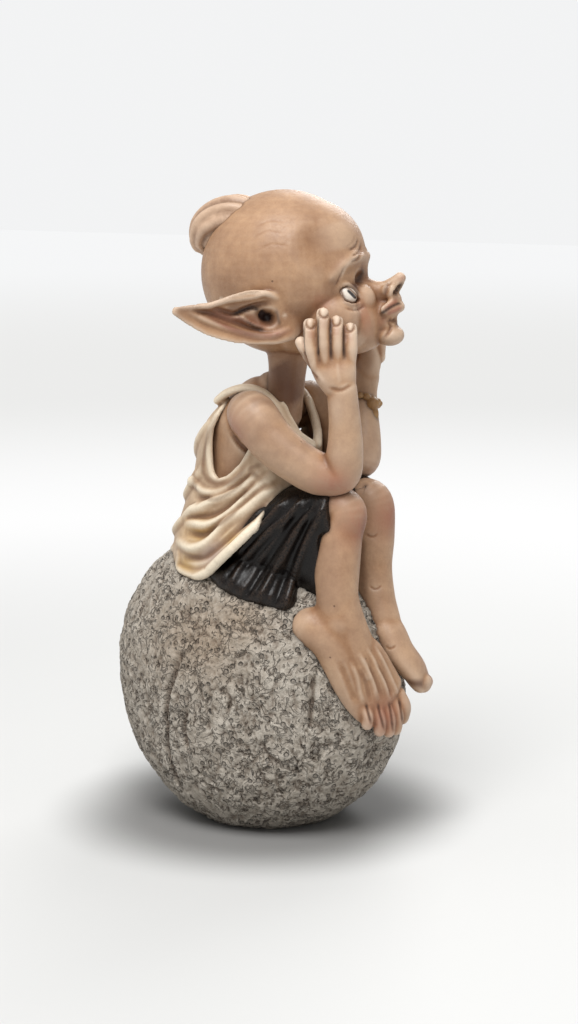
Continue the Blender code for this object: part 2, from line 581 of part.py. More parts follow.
def draw_strokes(part):
    """Folds, pleats, tendons, wrinkles and cracks."""
    co, no = reading(part.data)
    tree = BVHTree.FromPolygons([tuple(p) for p in co], [tuple(f.vertices) for f in part.data.polygons])
    work = [(stroke, 1) for stroke in CLOTH_STROKES + STROKES] + [(stroke, -1) for stroke in CLOTH_STROKES]
    for (height, reach, points), side in work:
        found = laid_on(tree, smooth_path(points, 12), side)
        if len(found) > 2:
            press(co, no, found, height, reach)
    for height, reach, points in EAR_STROKES:
        found = laid_on(tree, smooth_path(points, 12))
        far = [tree.find_nearest(Vector(across_head(spot)))[:2] for spot, _ in found]
        for run in (found, [(np.array(spot), np.array(normal)) for spot, normal in far]):
            if len(run) > 2:
                press(co, no, run, height, reach)
    for height, reach, points in BACK_FOLDS:
        turns = np.unwrap(np.radians([angle for angle, _ in points]))
        path = smooth_path(list(zip(turns, [rise for _, rise in points])), 14)
        spots = [tree.find_nearest(Vector(body_point(angle, rise, CLOTH)))[:2] for angle, rise in path]
        press(co, no, [(np.array(spot), np.array(normal)) for spot, normal in spots], height, reach)
    for forward, right, rise, depth, reach in HOLLOWS:
        spot, normal, _, _ = tree.find_nearest(Vector(on_head(forward, right, rise)))
        gap = np.linalg.norm(co - np.array(spot), axis=1)
        agree = no @ np.array(normal) > 0.1
        co -= no * (depth * agree * np.clip(1 - (gap / reach) ** 2, 0, 1) ** 2)[:, None]
    roughen(co, no)
    writing(part.data, co)


def on_stone(co):
    """How far each point is outside the plain stone, in parts of its radius."""
    lean = np.array(Matrix.Rotation(-STONE_LEAN, 3, "Y"))
    plain = co.copy()
    plain[:, 1] /= base_spread(co[:, 2])
    local = (plain - np.array(STONE_CENTRE)) @ lean
    return np.linalg.norm(local / (np.array((STONE_LENGTH, STONE_WIDTH, STONE_HEIGHT)) / 2), axis=1) - 1


def roughen(co, no):
    """Low lumps on the stone only."""
    index = np.nonzero(np.abs(on_stone(co)) < 0.012)[0]
    for i in index:
        co[i] += no[i] * 0.5 * noise.noise(Vector(co[i]) * 0.14) + no[i] * 0.22 * noise.noise(Vector(co[i]) * 0.45)


def flatten_base(part):
    """Cuts the stone off level so that it stands."""
    form = bmesh.new()
    form.from_mesh(part.data)
    every = form.verts[:] + form.edges[:] + form.faces[:]
    bmesh.ops.bisect_plane(form, geom=every, plane_co=(0, 0, 0), plane_no=(0, 0, 1), clear_inner=True)
    bmesh.ops.holes_fill(form, edges=[edge for edge in form.edges if edge.is_boundary], sides=0)
    bmesh.ops.triangulate(form, faces=form.faces)
    form.to_mesh(part.data)
    form.free()


def thin_out(part):
    """Fewer faces, kept where the shape is fine."""
    co, _ = reading(part.data)
    plain = np.nonzero(np.abs(on_stone(co)) < 0.03)[0]
    face = np.nonzero((co[:, 0] > 22) & (co[:, 2] > 126) | (co[:, 0] > 36) & (co[:, 2] < 56) & (co[:, 2] > 27))[0]
    local = co - np.array(HEAD)
    ears = np.nonzero((np.abs(local @ turned(HEAD_TURN)[1]) > 18.5) & (co[:, 2] > 136) & (co[:, 2] < 152))[0]
    group = part.vertex_groups.new(name="plain")
    group.add(range(len(co)), 0.35, "REPLACE")
    group.add([int(i) for i in ears], 0.2, "REPLACE")
    group.add([int(i) for i in plain], 1.0, "REPLACE")
    group.add([int(i) for i in np.setdiff1d(face, plain)], 0.12, "REPLACE")
    step = part.modifiers.new("fewer", "DECIMATE")
    step.use_collapse_triangulate = True
    step.vertex_group = "plain"
    step.vertex_group_factor = 1.0
    step.ratio = TRIANGLES / (2.0 * len(part.data.polygons))
    bake(part)
    part.vertex_groups.clear()


def paint(part):
    """One plain tan finish on the one casting."""
    material = bpy.data.materials.new("painted_resin")
    material.use_nodes = True
    base = material.node_tree.nodes["Principled BSDF"]
    base.inputs["Base Color"].default_value = (0.56, 0.36, 0.25, 1)
    base.inputs["Roughness"].default_value = 0.55
    part.data.materials.clear()
    part.data.materials.append(material)


def main():
    """Builds the figurine."""
    clear_scene()
    part = fused()
    remesh(part)
    keep_outer(part)
    draw_strokes(part)
    thin_out(part)
    flatten_base(part)
    part.data.transform(Matrix.Scale(SCALE, 4))
    for face in part.data.polygons:
        face.use_smooth = True
    paint(part)


main()
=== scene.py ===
"""A painted resin pixie seated on a pitted stone, chin in hands.

Lengths are in millimetres until each piece is finished.
"""
import math

import bpy
import numpy as np
from mathutils import Matrix, Vector, noise
from mathutils.bvhtree import BVHTree


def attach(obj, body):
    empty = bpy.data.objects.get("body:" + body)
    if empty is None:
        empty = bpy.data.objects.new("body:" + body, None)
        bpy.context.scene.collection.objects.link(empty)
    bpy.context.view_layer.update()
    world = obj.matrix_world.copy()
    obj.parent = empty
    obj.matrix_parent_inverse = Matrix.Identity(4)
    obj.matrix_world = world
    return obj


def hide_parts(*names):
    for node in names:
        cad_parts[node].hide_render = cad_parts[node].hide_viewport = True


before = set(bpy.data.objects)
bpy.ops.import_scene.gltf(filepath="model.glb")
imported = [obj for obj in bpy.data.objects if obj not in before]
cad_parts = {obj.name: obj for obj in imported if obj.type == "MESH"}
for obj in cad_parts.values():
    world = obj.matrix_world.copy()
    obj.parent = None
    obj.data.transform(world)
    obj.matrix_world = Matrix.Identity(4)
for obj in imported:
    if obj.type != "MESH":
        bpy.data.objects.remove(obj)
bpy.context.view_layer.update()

# The photograph's camera
TURN = math.radians(30)
DROP = math.radians(10)
AIM = np.array((9.0, 0.0, 87.6))
DISTANCE = 600.0
PIXEL = 0.28
MIDDLE = (289.0, 512.0)
PHOTO_HEIGHT = 1024
SENSOR = 36
MILLIMETRE = 0.001

# The stone
STONE_SIZE = (89.8, 63.0, 84.8)
STONE_CENTRE = (-0.53, 0.0, 39.4)
STONE_LEAN = math.radians(46)
BASE_SPREAD = 0.34
STONE_CUTS = 118
PIT_DEPTH = 1.05
# Cracks by the photograph's pixels: height, reach, points
STONE_CRACKS = (
    (-1.5, 1.3, ((182, 654), (168, 693), (166, 724), (169, 760), (180, 785))),
    (-1.1, 1.1, ((187, 709), (184, 728), (187, 748))),
    (-1.2, 1.1, ((313, 680), (312, 700), (310, 725))),
    (-0.9, 1.0, ((262, 742), (268, 756), (282, 764))),
    (-0.9, 1.0, ((222, 690), (230, 700), (226, 716))),
)

# The head: its middle and how far it turns to its left
HEAD = np.array((7.7, -0.5, 154.5))
HEAD_TURN = math.radians(15)

# Limbs: x, y, z, half width, half thickness
TORSO = (
    (-4, 0, 66, 14, 14), (-5, 0, 72, 16.5, 16), (-5, 0, 79, 16.5, 16), (-5, 0, 88, 14, 14),
    (-4, 0, 98, 12.4, 12.4), (-2.5, 0, 107, 12.8, 12), (-0.5, 0, 113, 13.4, 11), (1.8, 0, 118, 10.5, 8.8),
    (4.5, 0, 121, 6, 6.3),
)
NECK = (
    (6.5, -1, 116, 6.5, 6.5), (8.4, -1.5, 121, 5.3, 5.4), (9.4, -1.5, 128, 5.1, 5.3), (9.5, -1, 137, 6, 7),
)
NEAR_ARM = (
    (3, -12, 115, 5.5, 6), (7.2, -16.8, 116.6, 6.6, 6.7), (13.2, -17, 110.4, 6.3, 6.3),
    (19.8, -15.8, 105.2, 5.9, 6), (26.4, -13.3, 101.5, 5.7, 5.8), (31.6, -11.4, 101.9, 5.3, 5.4),
    (33.2, -12, 107.8, 4.9, 5), (33.5, -12.4, 113.9, 4.4, 4.5), (33.3, -13, 119.9, 4.1, 4.2),
    (32.8, -13.3, 125.3, 3.6, 4.3),
)
NEAR_PALM = ((32.8, -13.4, 124.5, 4.2, 3.4), (31.6, -14, 128.4, 5.6, 3.2), (30.6, -14, 131.6, 6.2, 2.4))
FAR_ARM = (
    (3, 12, 115, 5.5, 6), (7, 16.6, 116.2, 6.5, 6.6), (12, 17.4, 110.4, 6.1, 6.2),
    (17.4, 15.8, 105.4, 5.7, 5.9), (22.4, 13.4, 102.1, 5.4, 5.5), (25.8, 12.2, 102.6, 4.9, 5),
    (25.6, 13.6, 107.8, 4.5, 4.6), (24, 16.2, 114.2, 3.9, 4.1), (22.3, 19, 119.8, 3.6, 3.9),
    (21.8, 21, 124.4, 3.5, 4.1),
)
FAR_PALM = ((21.8, 20.9, 123.5, 4.1, 3.4), (21.4, 22.4, 128, 5.6, 3.2), (20.2, 23.2, 131.4, 6.2, 2.4))
NEAR_LEG = (
    (4, -10, 82, 8, 8), (18, -9.6, 88, 7.4, 7.4), (28, -9, 91.3, 6.4, 6.4), (31.9, -9.2, 90.6, 5.8, 6),
    (31, -10, 84.7, 5.9, 6), (31, -12, 76.8, 6.1, 6.3), (32.1, -14, 69.8, 5.7, 5.8),
    (32.6, -15, 64.6, 5.2, 5.7),
)
FAR_LEG = (
    (4, 10, 82, 8, 8), (18, 9.2, 88, 7.4, 7.4), (27.4, 8.2, 91.2, 6.4, 6.4), (31, 8, 90.2, 6, 6.2),
    (31.2, 8.1, 81.8, 6, 6.2), (31.2, 7.2, 72.9, 5.8, 6), (33.6, 5.2, 64.5, 5.5, 5.8),
    (36.4, 3.8, 58.6, 5.2, 5.6),
)
NEAR_FOOT = (
    (26, -17.2, 60, 5.6, 5.6), (31.4, -15.6, 57, 6.8, 6.6), (36.8, -12.9, 50.6, 9, 5.4),
    (40, -10.6, 44.2, 9.3, 4.3), (42.2, -8.4, 39.9, 8.8, 3.2),
)
INSTEP = (
    (32.2, -14.2, 70, 5, 5.4), (34.6, -13.8, 62.4, 5.8, 5), (37.6, -12.4, 54.6, 6.2, 4.2),
    (40, -11, 48, 6, 3.2),
)
FAR_FOOT = (
    (33, 3.6, 55.4, 5, 4.8), (37.6, 3.4, 56, 5.6, 5.4), (42, 3.8, 50.6, 6.2, 4.3), (45, 6.2, 46, 7, 3.6),
    (46, 8, 43, 6.8, 3),
)
NEAR_TOES = (
    ((39.6, -14.4, 39.8), (41.6, -14, 34.1), 1.8), ((41.6, -11.4, 39.4), (43.6, -10.6, 31.8), 1.9),
    ((43.2, -8.4, 39.2), (44.8, -7.4, 30.9), 1.85), ((44.4, -5.4, 39.4), (45.4, -4.4, 30.9), 1.85),
    ((44.8, -2.6, 40.2), (45.5, -1.2, 33.6), 2.35),
)
FAR_TOES = (
    ((47, 4.2, 43.6), (48.6, 6, 41.6), 2.5), ((46.4, 7.2, 43.2), (47.8, 9, 40.9), 1.8),
    ((45.6, 9.6, 42.8), (46.8, 11.4, 40.4), 1.8), ((44.4, 11.8, 42.4), (45.6, 13.4, 40), 1.7),
    ((43.2, 13.8, 42.2), (44.2, 15.4, 39.8), 1.6),
)
NEAR_FINGERS = (
    ((26.9, -15.6, 129.8), (25.3, -16.6, 136.5), (24.3, -15.6, 142.2)),
    ((29.6, -15.2, 130.4), (28.6, -15.7, 138.5), (27.5, -14.2, 145)),
    ((32.3, -14, 130.4), (31.9, -14.1, 137.6), (30.7, -12.2, 142.9)),
    ((34.6, -12.4, 129.8), (34.9, -12, 136.4), (33.7, -10, 141)),
)
NEAR_THUMB = ((28.6, -13.4, 128), (24.6, -14, 131.6), (20.8, -14.2, 137))
# Half widths along a finger, and the way across each hand and foot
FINGER_WIDTHS = (1.86, 1.76, 1.72, 1.76, 1.86, 1.8, 1.76, 1.78, 1.8, 1.8, 1.72)
NEAR_HAND_ACROSS = (0.9, 0.35, 0)
FAR_HAND_ACROSS = (0.86, -0.5, 0)
NEAR_FOOT_ACROSS = (0.34, 0.75, 0.57)
FAR_FOOT_ACROSS = (-0.4, 0.92, 0)
SHOULDER = ((2.6, 8.4, 117), (7.2, 7, 5.6))
NEAR_ANKLE = ((33.2, -14.6, 61), (6, 6.2, 6.4))

# The lap that the skirt lies over, and the skirt
NEAR_LAP = (
    (6, -10.2, 83, 9.4, 9.4), (18, -10, 88, 8.9, 8.8), (26, -9.7, 90.2, 7.9, 7.9),
    (30, -9.5, 90.8, 7.5, 7.5),
)
FAR_LAP = (
    (6, 10.2, 83, 9.4, 9.4), (18, 9.8, 88, 8.9, 8.8), (26, 8.9, 90.2, 7.8, 7.8),
    (29.4, 8.4, 90.8, 7.4, 7.4),
)
SKIRT = (
    (-20, 0, 74.5, 9, 4), (-14, 0, 76.5, 16, 8.6), (-5, 0, 79, 17.6, 11.4), (5, 0, 81, 19, 13.6),
    (15, 0, 82.2, 19.8, 15.6), (21.5, 0, 82, 18.6, 16), (26.6, 0, 80, 17, 17.2), (28.2, 0, 80, 15.6, 15.8),
    (29, 0, 80, 12.5, 12.5),
)
# Where the skirt hangs on to the stone, by pixels, and the thickness of that cloth
DRAPE = (
    (204, 566), (212, 578), (222, 589), (246, 601), (270, 607), (291, 613), (295, 600), (297, 583),
    (304, 560), (318, 545), (300, 530), (260, 535), (222, 556),
)
DRAPE_HALF = 3.2
DRAPE_SINK = 1.0
BRACELET = (22.8, 18.1, 118)
BRACELET_BEADS = 14

# The head, from its middle: forward, to its right, up
EAR = (
    (7, 15.5, -12.8, 4.4, 2.4), (3.2, 18.2, -11.8, 6.4, 2.2), (-1.8, 21.4, -10.6, 7.4, 1.7),
    (-7, 25.2, -10.8, 6.6, 1.4), (-12.2, 28.6, -10.8, 4.7, 1.2), (-16.6, 31, -9.9, 2.9, 1.1),
    (-20.8, 32.8, -8.6, 1.2, 0.9),
)
MUZZLE = (
    (4, 0, -11.5, 16, 11), (12, 0, -12.2, 14, 10.6), (18.5, 0, -12.6, 11.6, 9.8), (23, 0, -12.4, 9, 8.8),
    (26, 0, -12, 6.6, 7.2), (27.6, 0, -11.8, 4.4, 5.2),
)
NOSE = (
    (21, 0, -3.2, 3.2, 3), (25, 0, -4.8, 3, 3), (28.4, 0, -4.8, 2.6, 2.9), (31, 0, -2.9, 2.1, 2.3),
    (32.7, 0, -0.9, 1.4, 1.6),
)
UPPER_LIP = (
    (28.8, 5, -9, 0.6, 0.6), (30.4, 3.2, -8, 1, 1), (31.7, 1.4, -6.7, 1.2, 1.1), (31.9, 0, -6.6, 1.1, 1),
)
LOWER_LIP = (
    (28.8, 4.8, -9.9, 0.7, 0.7), (30.8, 3, -9.7, 1.3, 1.2), (32.1, 1.2, -9, 1.6, 1.6),
    (32.3, 0, -8.9, 1.6, 1.7),
)
BROW = (
    (17, 14.2, -0.4, 0.9, 0.9), (19.4, 11.2, 2.6, 1.4, 1.3), (21.2, 7.4, 4.4, 1.7, 1.5),
    (22.2, 3.4, 4.4, 1.7, 1.5), (22.2, 0, 3.6, 1.7, 1.5),
)
# Rounded forms of the head: place from its middle, half sizes
SKULL = ((0.1, 0, 0), (23.1, 20.5, 22.5))
FOREHEAD = ((6, 0, 5), (16.6, 16.5, 15.4))
CHIN = ((29.8, 0, -16.6), (4.1, 4.2, 3))
NOSE_ROOT = ((20.4, 0, 0.8), (3.2, 4, 4.6))
CHEEK = ((15, 9.2, -12), (8.6, 6.4, 8))
EYE_SOCKET = ((18.7, 7.5, -5.2), (3.7, 3.7, 3.6))
NOSE_WING = ((30, 2.2, -4.4), (2, 1.4, 2))
MOUTH_SIDE = ((22.4, 3.8, -7), (4.4, 3.4, 4.6))
EYEBALL = ((18.9, 7.6, -5.3), (3.5, 3.5, 3.4))
EAR_CUP = 0.42
# Strands of the topknot: how many, how far out, how thick, how far they twist
STRANDS = 9
STRAND_OUT = 0.86
STRAND_SIZE = 0.27
STRAND_TWIST = 0.55
TOPKNOT = (
    (-7, 3, 15, 4, 3.6), (-11.5, 3.2, 15.6, 6, 4.8), (-16.5, 3, 14.6, 6.2, 5), (-20.8, 2.4, 11.8, 5.6, 4.6),
    (-22.6, 2, 8.2, 3.8, 3.4), (-21.8, 1.6, 6, 2, 2),
)

# Edges of the tunic by angle round the body: angle from the front, upper edge, lower edge
TUNIC = (
    (0, 107, 95), (12, 109, 96), (24, 115, 96.5), (34, 119, 96), (44, 118, 93), (54, 110, 86.5),
    (66, 102.5, 81), (80, 98.5, 76), (94, 97, 71.8), (106, 99.5, 70.2), (116, 108, 69.6),
    (128, 116.5, 69.4), (146, 120.5, 69.6), (164, 121, 70), (180, 121, 70.2),
)
# How far the tunic stands off the body: everywhere, at its hem, less at the back, at the chest
TUNIC_ROOM = 1.4
HEM_ROOM = 2.2
HEM_LESS_BACK = 1.6
CHEST_ROOM = 5.0
# How much further it stands out over the lap: most, at this angle, within this angle
LAP_SWELL = 5.8
LAP_SWELL_AT = 51
LAP_SWELL_WIDTH = 24
# Its cloth's outer and inner side, the rolled rim's half width, points round it and rows up it
CLOTH_SIDES = (1.7, 0.2)
RIM = 1.0
TUNIC_POINTS = 160
TUNIC_ROWS = 41
STRAP = (
    (-8.8, -8.4, 119), (-5, -9.6, 121.4), (0.6, -9.9, 123), (5.8, -9.4, 122), (9.8, -8.8, 118.8),
    (12.2, -7.8, 114.6), (15, -5.4, 110.4), (17.2, -1.6, 107.4),
)

# Folds across the back: height, reach, points as angle from the front and height above the base
BACK_FOLDS = (
    (1.3, 2.1, ((-132, 113), (-158, 104), (178, 101), (156, 104), (132, 113))),
    (1.4, 2.2, ((-120, 100), (-150, 92), (180, 89.6), (150, 92), (120, 100))),
    (1.3, 2.1, ((-112, 90), (-146, 82), (-178, 79.4), (146, 83), (112, 90))),
    (1.1, 1.8, ((-140, 77), (-166, 74.4), (170, 74.6), (140, 78))),
)

# Strokes of the modelling tool by the photograph's pixels: height, reach, points
TUNIC_STROKES = (
    (1.5, 2.2, ((188, 513), (200, 508), (212, 502), (240, 490), (257, 475))),
    (1.5, 2.2, ((187, 522), (208, 525), (228, 515), (250, 495), (270, 477))),
    (1.4, 2.1, ((178, 542), (192, 548), (208, 542), (225, 525), (243, 512), (263, 495), (277, 488))),
    (1.2, 2.0, ((178, 555), (180, 568), (195, 575), (207, 573), (217, 563), (230, 550), (248, 533),
         (267, 517), (278, 498))),
    (-1.1, 1.6, ((190, 518), (214, 514), (234, 503), (254, 486))),
    (-1.2, 1.8, ((186, 533), (204, 534), (222, 522), (244, 504), (264, 486))),
    (-1.0, 1.6, ((186, 558), (204, 557), (222, 543), (244, 523), (268, 503))),
    (0.9, 1.6, ((196, 470), (194, 480), (204, 491), (220, 491), (236, 480), (248, 468))),
    (-0.9, 1.4, ((196, 497), (216, 499), (238, 487), (252, 473))),
)
SKIRT_STROKES = (
    (1.0, 1.8, ((292, 512), (277, 527), (255, 550), (238, 572), (228, 588))),
    (1.0, 1.7, ((306, 514), (296, 532), (283, 556), (266, 586), (258, 601))),
    (0.9, 1.6, ((316, 520), (309, 535), (300, 558), (288, 596), (284, 608))),
    (-1.0, 1.6, ((300, 512), (286, 532), (270, 556), (250, 588), (243, 598))),
    (-0.9, 1.5, ((312, 516), (303, 534), (292, 558), (278, 594), (273, 606))),
    (0.9, 1.6, ((262, 508), (248, 526), (232, 546), (216, 566))),
    (1.0, 1.6, ((286, 500), (271, 516), (251, 538), (234, 556))),
    (0.8, 1.3, ((301, 500), (291, 514), (280, 530))),
    (0.8, 1.2, ((323, 506), (318, 520), (313, 532))),
    (-0.8, 1.4, ((272, 508), (258, 524), (240, 546), (224, 566))),
    (-0.8, 1.2, ((311, 502), (303, 514), (294, 526))),
    (0.8, 1.5, ((278, 522), (262, 538), (244, 556), (226, 572))),
    (-0.8, 1.4, ((286, 520), (268, 540), (248, 562), (230, 582))),
)
FOOT_STROKES = (
    (0.32, 1.1, ((352, 664), (357, 677), (360, 692), (363, 702))),
    (0.34, 1.1, ((360, 655), (367, 668), (373, 683), (377, 698))),
    (0.34, 1.1, ((368, 650), (376, 665), (384, 682), (389, 697))),
    (0.32, 1.1, ((376, 648), (384, 663), (392, 680), (398, 694))),
    (-0.3, 1.0, ((361, 672), (366, 684), (370, 700))),
    (-0.3, 1.0, ((369, 666), (376, 680), (382, 697))),
    (-0.3, 1.0, ((377, 664), (386, 680), (392, 697))),
    (-0.3, 1.4, ((340, 664), (348, 684), (355, 702))),
    (-0.25, 0.5, ((366, 534), (370, 536.5), (374, 536.5), (377, 534.5))),
    (-0.25, 0.5, ((370, 586), (373.5, 589), (378, 588.5), (381, 586))),
    (-0.25, 0.5, ((386, 646), (389, 648.5), (392.5, 648), (395, 646))),
)
# Gaps between the toes by pixel, darkened as painted shade: strength of that shade, reach, points
TOE_GAPS = (
    (0.7, 0.6, ((366, 704), (368, 712), (371, 723))), (0.7, 0.6, ((378, 704), (380, 714), (384, 729))),
    (0.7, 0.6, ((389, 703), (391, 714), (393, 731))), (0.7, 0.6, ((399, 700), (401, 710), (403, 725))),
)
ARM_STROKES = ((-0.9, 1.2, ((232, 435), (240, 445), (248, 451), (255, 458))),)
HAND_STROKES = (
    (0.08, 0.9, ((313, 357), (318, 372), (326, 384))),
    (0.08, 0.9, ((337, 358), (338, 372), (340, 384))),
    (-0.3, 0.8, ((330, 388), (341, 390), (352, 384))),
    (-0.4, 0.9, ((300, 352), (307, 366), (318, 380))),
)
# Gaps between the fingers by pixel, darkened as painted shade: strength of that shade, reach, points
FINGER_GAPS = (
    (0.95, 0.8, ((318, 318), (318, 338), (319, 359))), (0.95, 0.8, ((330.5, 318), (330.5, 338), (331, 359))),
    (0.95, 0.8, ((343.5, 325), (343.5, 342), (344, 359))), (0.8, 0.8, ((304, 326), (304, 342), (306, 356))),
)
EAR_STROKES = (
    (0.7, 1.2, ((184, 307), (208, 306), (227, 301), (253, 297), (265, 294), (276, 298))),
    (0.7, 1.2, ((190, 313), (210, 322), (230, 329), (253, 335), (273, 335), (288, 329))),
    (-0.8, 1.2, ((196, 311), (212, 314), (233, 322), (252, 328), (270, 331))),
    (-1.3, 1.3, ((216, 309), (233, 314), (244, 310), (256, 306), (268, 304))),
    (0.8, 1.1, ((226, 311), (240, 317), (252, 325), (262, 329))),
)
FACE_STROKES = (
    (-0.45, 0.7, ((352, 262), (359, 258), (362, 250))),
    (-0.4, 0.6, ((353, 256), (359, 252), (361, 245))),
    (-0.4, 0.6, ((350, 250), (356, 246), (358, 240))),
    (-0.35, 0.6, ((345, 268), (340, 277), (336, 286))),
    (-0.5, 0.8, ((388, 322), (391, 326), (389, 332), (386, 336))),
    (-0.7, 0.9, ((396, 319), (393, 321), (389, 320))),
    (0.5, 0.8, ((343, 284), (348, 284), (354, 289), (361, 297))),
    (0.4, 0.7, ((344, 302), (352, 305), (360, 303))),
    (-0.4, 0.7, ((346, 308), (356, 310), (364, 306))),
)
SCALP_STROKES = (
    (-0.09, 0.6, ((258, 226), (270, 221), (284, 222))),
    (-0.08, 0.6, ((256, 236), (268, 231), (283, 233))),
    (-0.08, 0.6, ((262, 248), (272, 244), (288, 246))),
)
NOSTRIL_STROKES = (
    (-1.3, 0.9, ((401, 285), (398, 289), (394, 294))),
    (-0.5, 0.8, ((390, 281), (388, 288), (386, 296))),
)
# Where the skin is softened: place, reach, steps
HEAD_SOFTENED = (
    ((29.5, 0, -11), 9, 7), ((20, 7, 2.5), 9.5, 26), ((17.5, 13.5, 0), 5, 30), ((20, -7, 2.5), 9.5, 26),
    ((17.5, -13.5, 0), 5, 30), ((22.8, 0, 3.5), 6, 20),
)
LEGS_SOFTENED = (
    ((33, -15, 62), 13, 40), ((41.5, -10, 41), 7, 12), ((37, 4, 58), 10, 30), ((27, -17, 60), 8, 16),
)
# Where the head is hollowed: pixel, depth, reach
HEAD_HOLLOWS = (
    (268, 318, 3.0, 3.0), (262, 313, 1.0, 2.4), (360, 279, 1.8, 2.8), (342, 291, 0.6, 1.3),
    (320, 246, 1.0, 8.5),
)
# The eye by pixel: its outline, its painted slit, and how deep the skin sinks in it
EYE = (
    (341, 291), (343, 288), (346, 287), (350, 289), (355, 294), (360, 300), (358, 302), (352, 303),
    (345, 300),
)
EYE_SLIT = ((348.5, 291), (352, 294.2), (355, 297.6))
EYE_DEPTH = 1.25
# Nails: middle by pixel, half width, half height
NAILS = ((311, 323, 5.0, 5.6), (324, 312, 5.0, 5.8), (336, 320, 5.0, 5.8), (349.5, 326, 4.7, 5.6))

# Brush lines by pixel: strength, reach, points
# Brown paint and painted shade: ear hollows, brow hollow, eye and mouth creases, under the jaw and the shaded
# neck
HEAD_WASH_AND_SHADE = (
    (0.62, 3.2, ((203, 312), (222, 317), (242, 320), (262, 322), (282, 322))),
    (0.7, 1.7, ((196, 309), (215, 311), (235, 309), (255, 303), (272, 302))),
    (0.7, 1.5, ((206, 317), (230, 326), (250, 333), (275, 333))),
    (1.0, 2.6, ((353, 291), (357, 282), (360, 273), (364, 268))),
    (0.75, 3.6, ((356, 284), (364, 276), (367, 284))),
    (0.5, 0.8, ((341, 291), (344, 301), (352, 305), (362, 304))),
    (0.4, 3.5, ((340, 300), (332, 290), (334, 278))),
    (0.6, 0.5, ((352, 262), (359, 258), (363, 250))),
    (0.5, 0.5, ((353, 256), (359, 252), (361, 245))),
    (0.45, 0.5, ((350, 250), (356, 246), (358, 240))),
    (0.4, 0.5, ((346, 247), (352, 242), (355, 235))),
    (0.5, 1.5, ((366, 284), (374, 290), (384, 297))),
    (0.8, 0.9, ((389, 282), (386, 289), (385, 297))),
    (0.6, 1.3, ((392, 298), (396, 298), (398, 294))),
    (0.6, 1.6, ((379, 312), (382, 315), (384, 320))),
    (0.75, 1.2, ((390, 321), (395, 321), (398, 327))),
    (0.6, 0.8, ((391, 326), (388, 333), (384, 338))),
    (0.5, 2.6, ((352, 352), (366, 357), (380, 352))),
    (0.95, 9.0, ((276, 362), (282, 375), (289, 390), (296, 408))),
    (0.22, 10.0, ((304, 228), (318, 250), (330, 276))),
    (0.2, 9.0, ((232, 280), (226, 305))),
    (0.4, 5.0, ((300, 300), (300, 320), (296, 340))),
    (0.4, 5.0, ((176, 308), (188, 311), (200, 313))),
)
# Painted shade in the ear's hollows and canal, along the upper lid, in the nostril, along the mouth and under
# the brow
HEAD_DARK = (
    (2.0, 3.2, ((263, 315), (269, 321))),
    (1.6, 2.4, ((258, 313), (266, 318))),
    (0.95, 1.2, ((233, 315), (242, 311), (252, 308), (260, 310))),
    (0.7, 1.0, ((247, 322), (256, 328), (264, 331))),
    (0.55, 0.8, ((276, 309), (278, 318), (280, 325))),
    (0.8, 0.5, ((342, 290), (346, 286.5), (350, 288.5), (355, 293))),
    (1.0, 0.95, ((402, 283), (398, 289), (394, 296))),
    (0.9, 0.75, ((380, 314), (385, 311), (391, 307), (397, 304), (401, 303))),
    (0.7, 1.5, ((358, 284), (361, 276), (364, 270))),
)
HEAD_FLUSH = (
    (0.6, 9.0, ((360, 318), (370, 314))),
    (0.7, 2.2, ((402, 276), (404, 280))),
    (0.95, 1.5, ((212, 319), (240, 332), (265, 336), (290, 331))),
    (0.85, 3.2, ((205, 312), (225, 317), (245, 322), (272, 326))),
    (1.0, 1.3, ((383, 311), (391, 305), (398, 300))),
    (1.0, 1.4, ((386, 314), (394, 311), (402, 307))),
    (0.5, 4.0, ((312, 300), (330, 306))),
    (0.5, 2.5, ((380, 318), (384, 325))),
)
# Painted highlights on the forehead, brow ridge, lips, chin, cheek, ear rims, tragus, nose ridge and jaw
HEAD_PALE = (
    (0.3, 11.0, ((332, 220), (342, 236), (346, 250))),
    (0.6, 1.2, ((340, 277), (345, 268), (351, 261), (356, 259))),
    (0.7, 0.8, ((398, 313), (402, 309))),
    (0.6, 1.3, ((398, 335), (402, 338))),
    (0.6, 3.0, ((352, 310), (362, 311))),
    (0.8, 0.9, ((174, 308), (208, 303), (227, 297), (253, 293), (276, 293))),
    (0.7, 1.0, ((284, 314), (285, 317))),
    (0.6, 1.0, ((380, 284), (388, 283), (396, 276))),
    (0.5, 4.0, ((352, 338), (364, 344))),
)
# Brown paint and painted shade in the armhole groove, the hand creases and on the shaded side of the upper
# arm
HAND_WASH_AND_SHADE = (
    (0.7, 1.0, ((232, 435), (240, 445), (248, 453), (256, 460))),
    (0.5, 0.8, ((330, 388), (341, 390), (352, 385))),
    (0.6, 1.6, ((303, 352), (309, 366), (320, 384))),
    (0.35, 3.0, ((300, 452), (312, 440), (324, 424))),
    (0.45, 2.5, ((250, 405), (262, 400), (276, 408))),
    (0.3, 8.0, ((255, 425), (275, 440), (295, 455))),
)
# Brown paint and painted shade between the toes, in the knee creases, under the far foot and on the shaded
# sides of the shins
FOOT_WASH_AND_SHADE = (
    (0.4, 1.0, ((361, 672), (366, 684), (370, 700))),
    (0.4, 1.0, ((369, 666), (376, 680), (382, 697))),
    (0.4, 1.0, ((377, 664), (386, 680), (392, 697))),
    (0.4, 0.36, ((366, 534), (370, 536.5), (374, 536.5), (377, 534.5))),
    (0.4, 0.36, ((370, 586), (373.5, 589), (378, 588.5), (381, 586))),
    (0.4, 0.36, ((386, 646), (389, 648.5), (392.5, 648), (395, 646))),
    (0.5, 2.0, ((366, 512), (362, 545), (364, 590), (372, 628), (386, 650))),
    (0.9, 2.0, ((402, 680), (412, 683), (424, 684))),
    (0.34, 7.0, ((326, 535), (324, 560), (326, 590), (322, 612))),
)
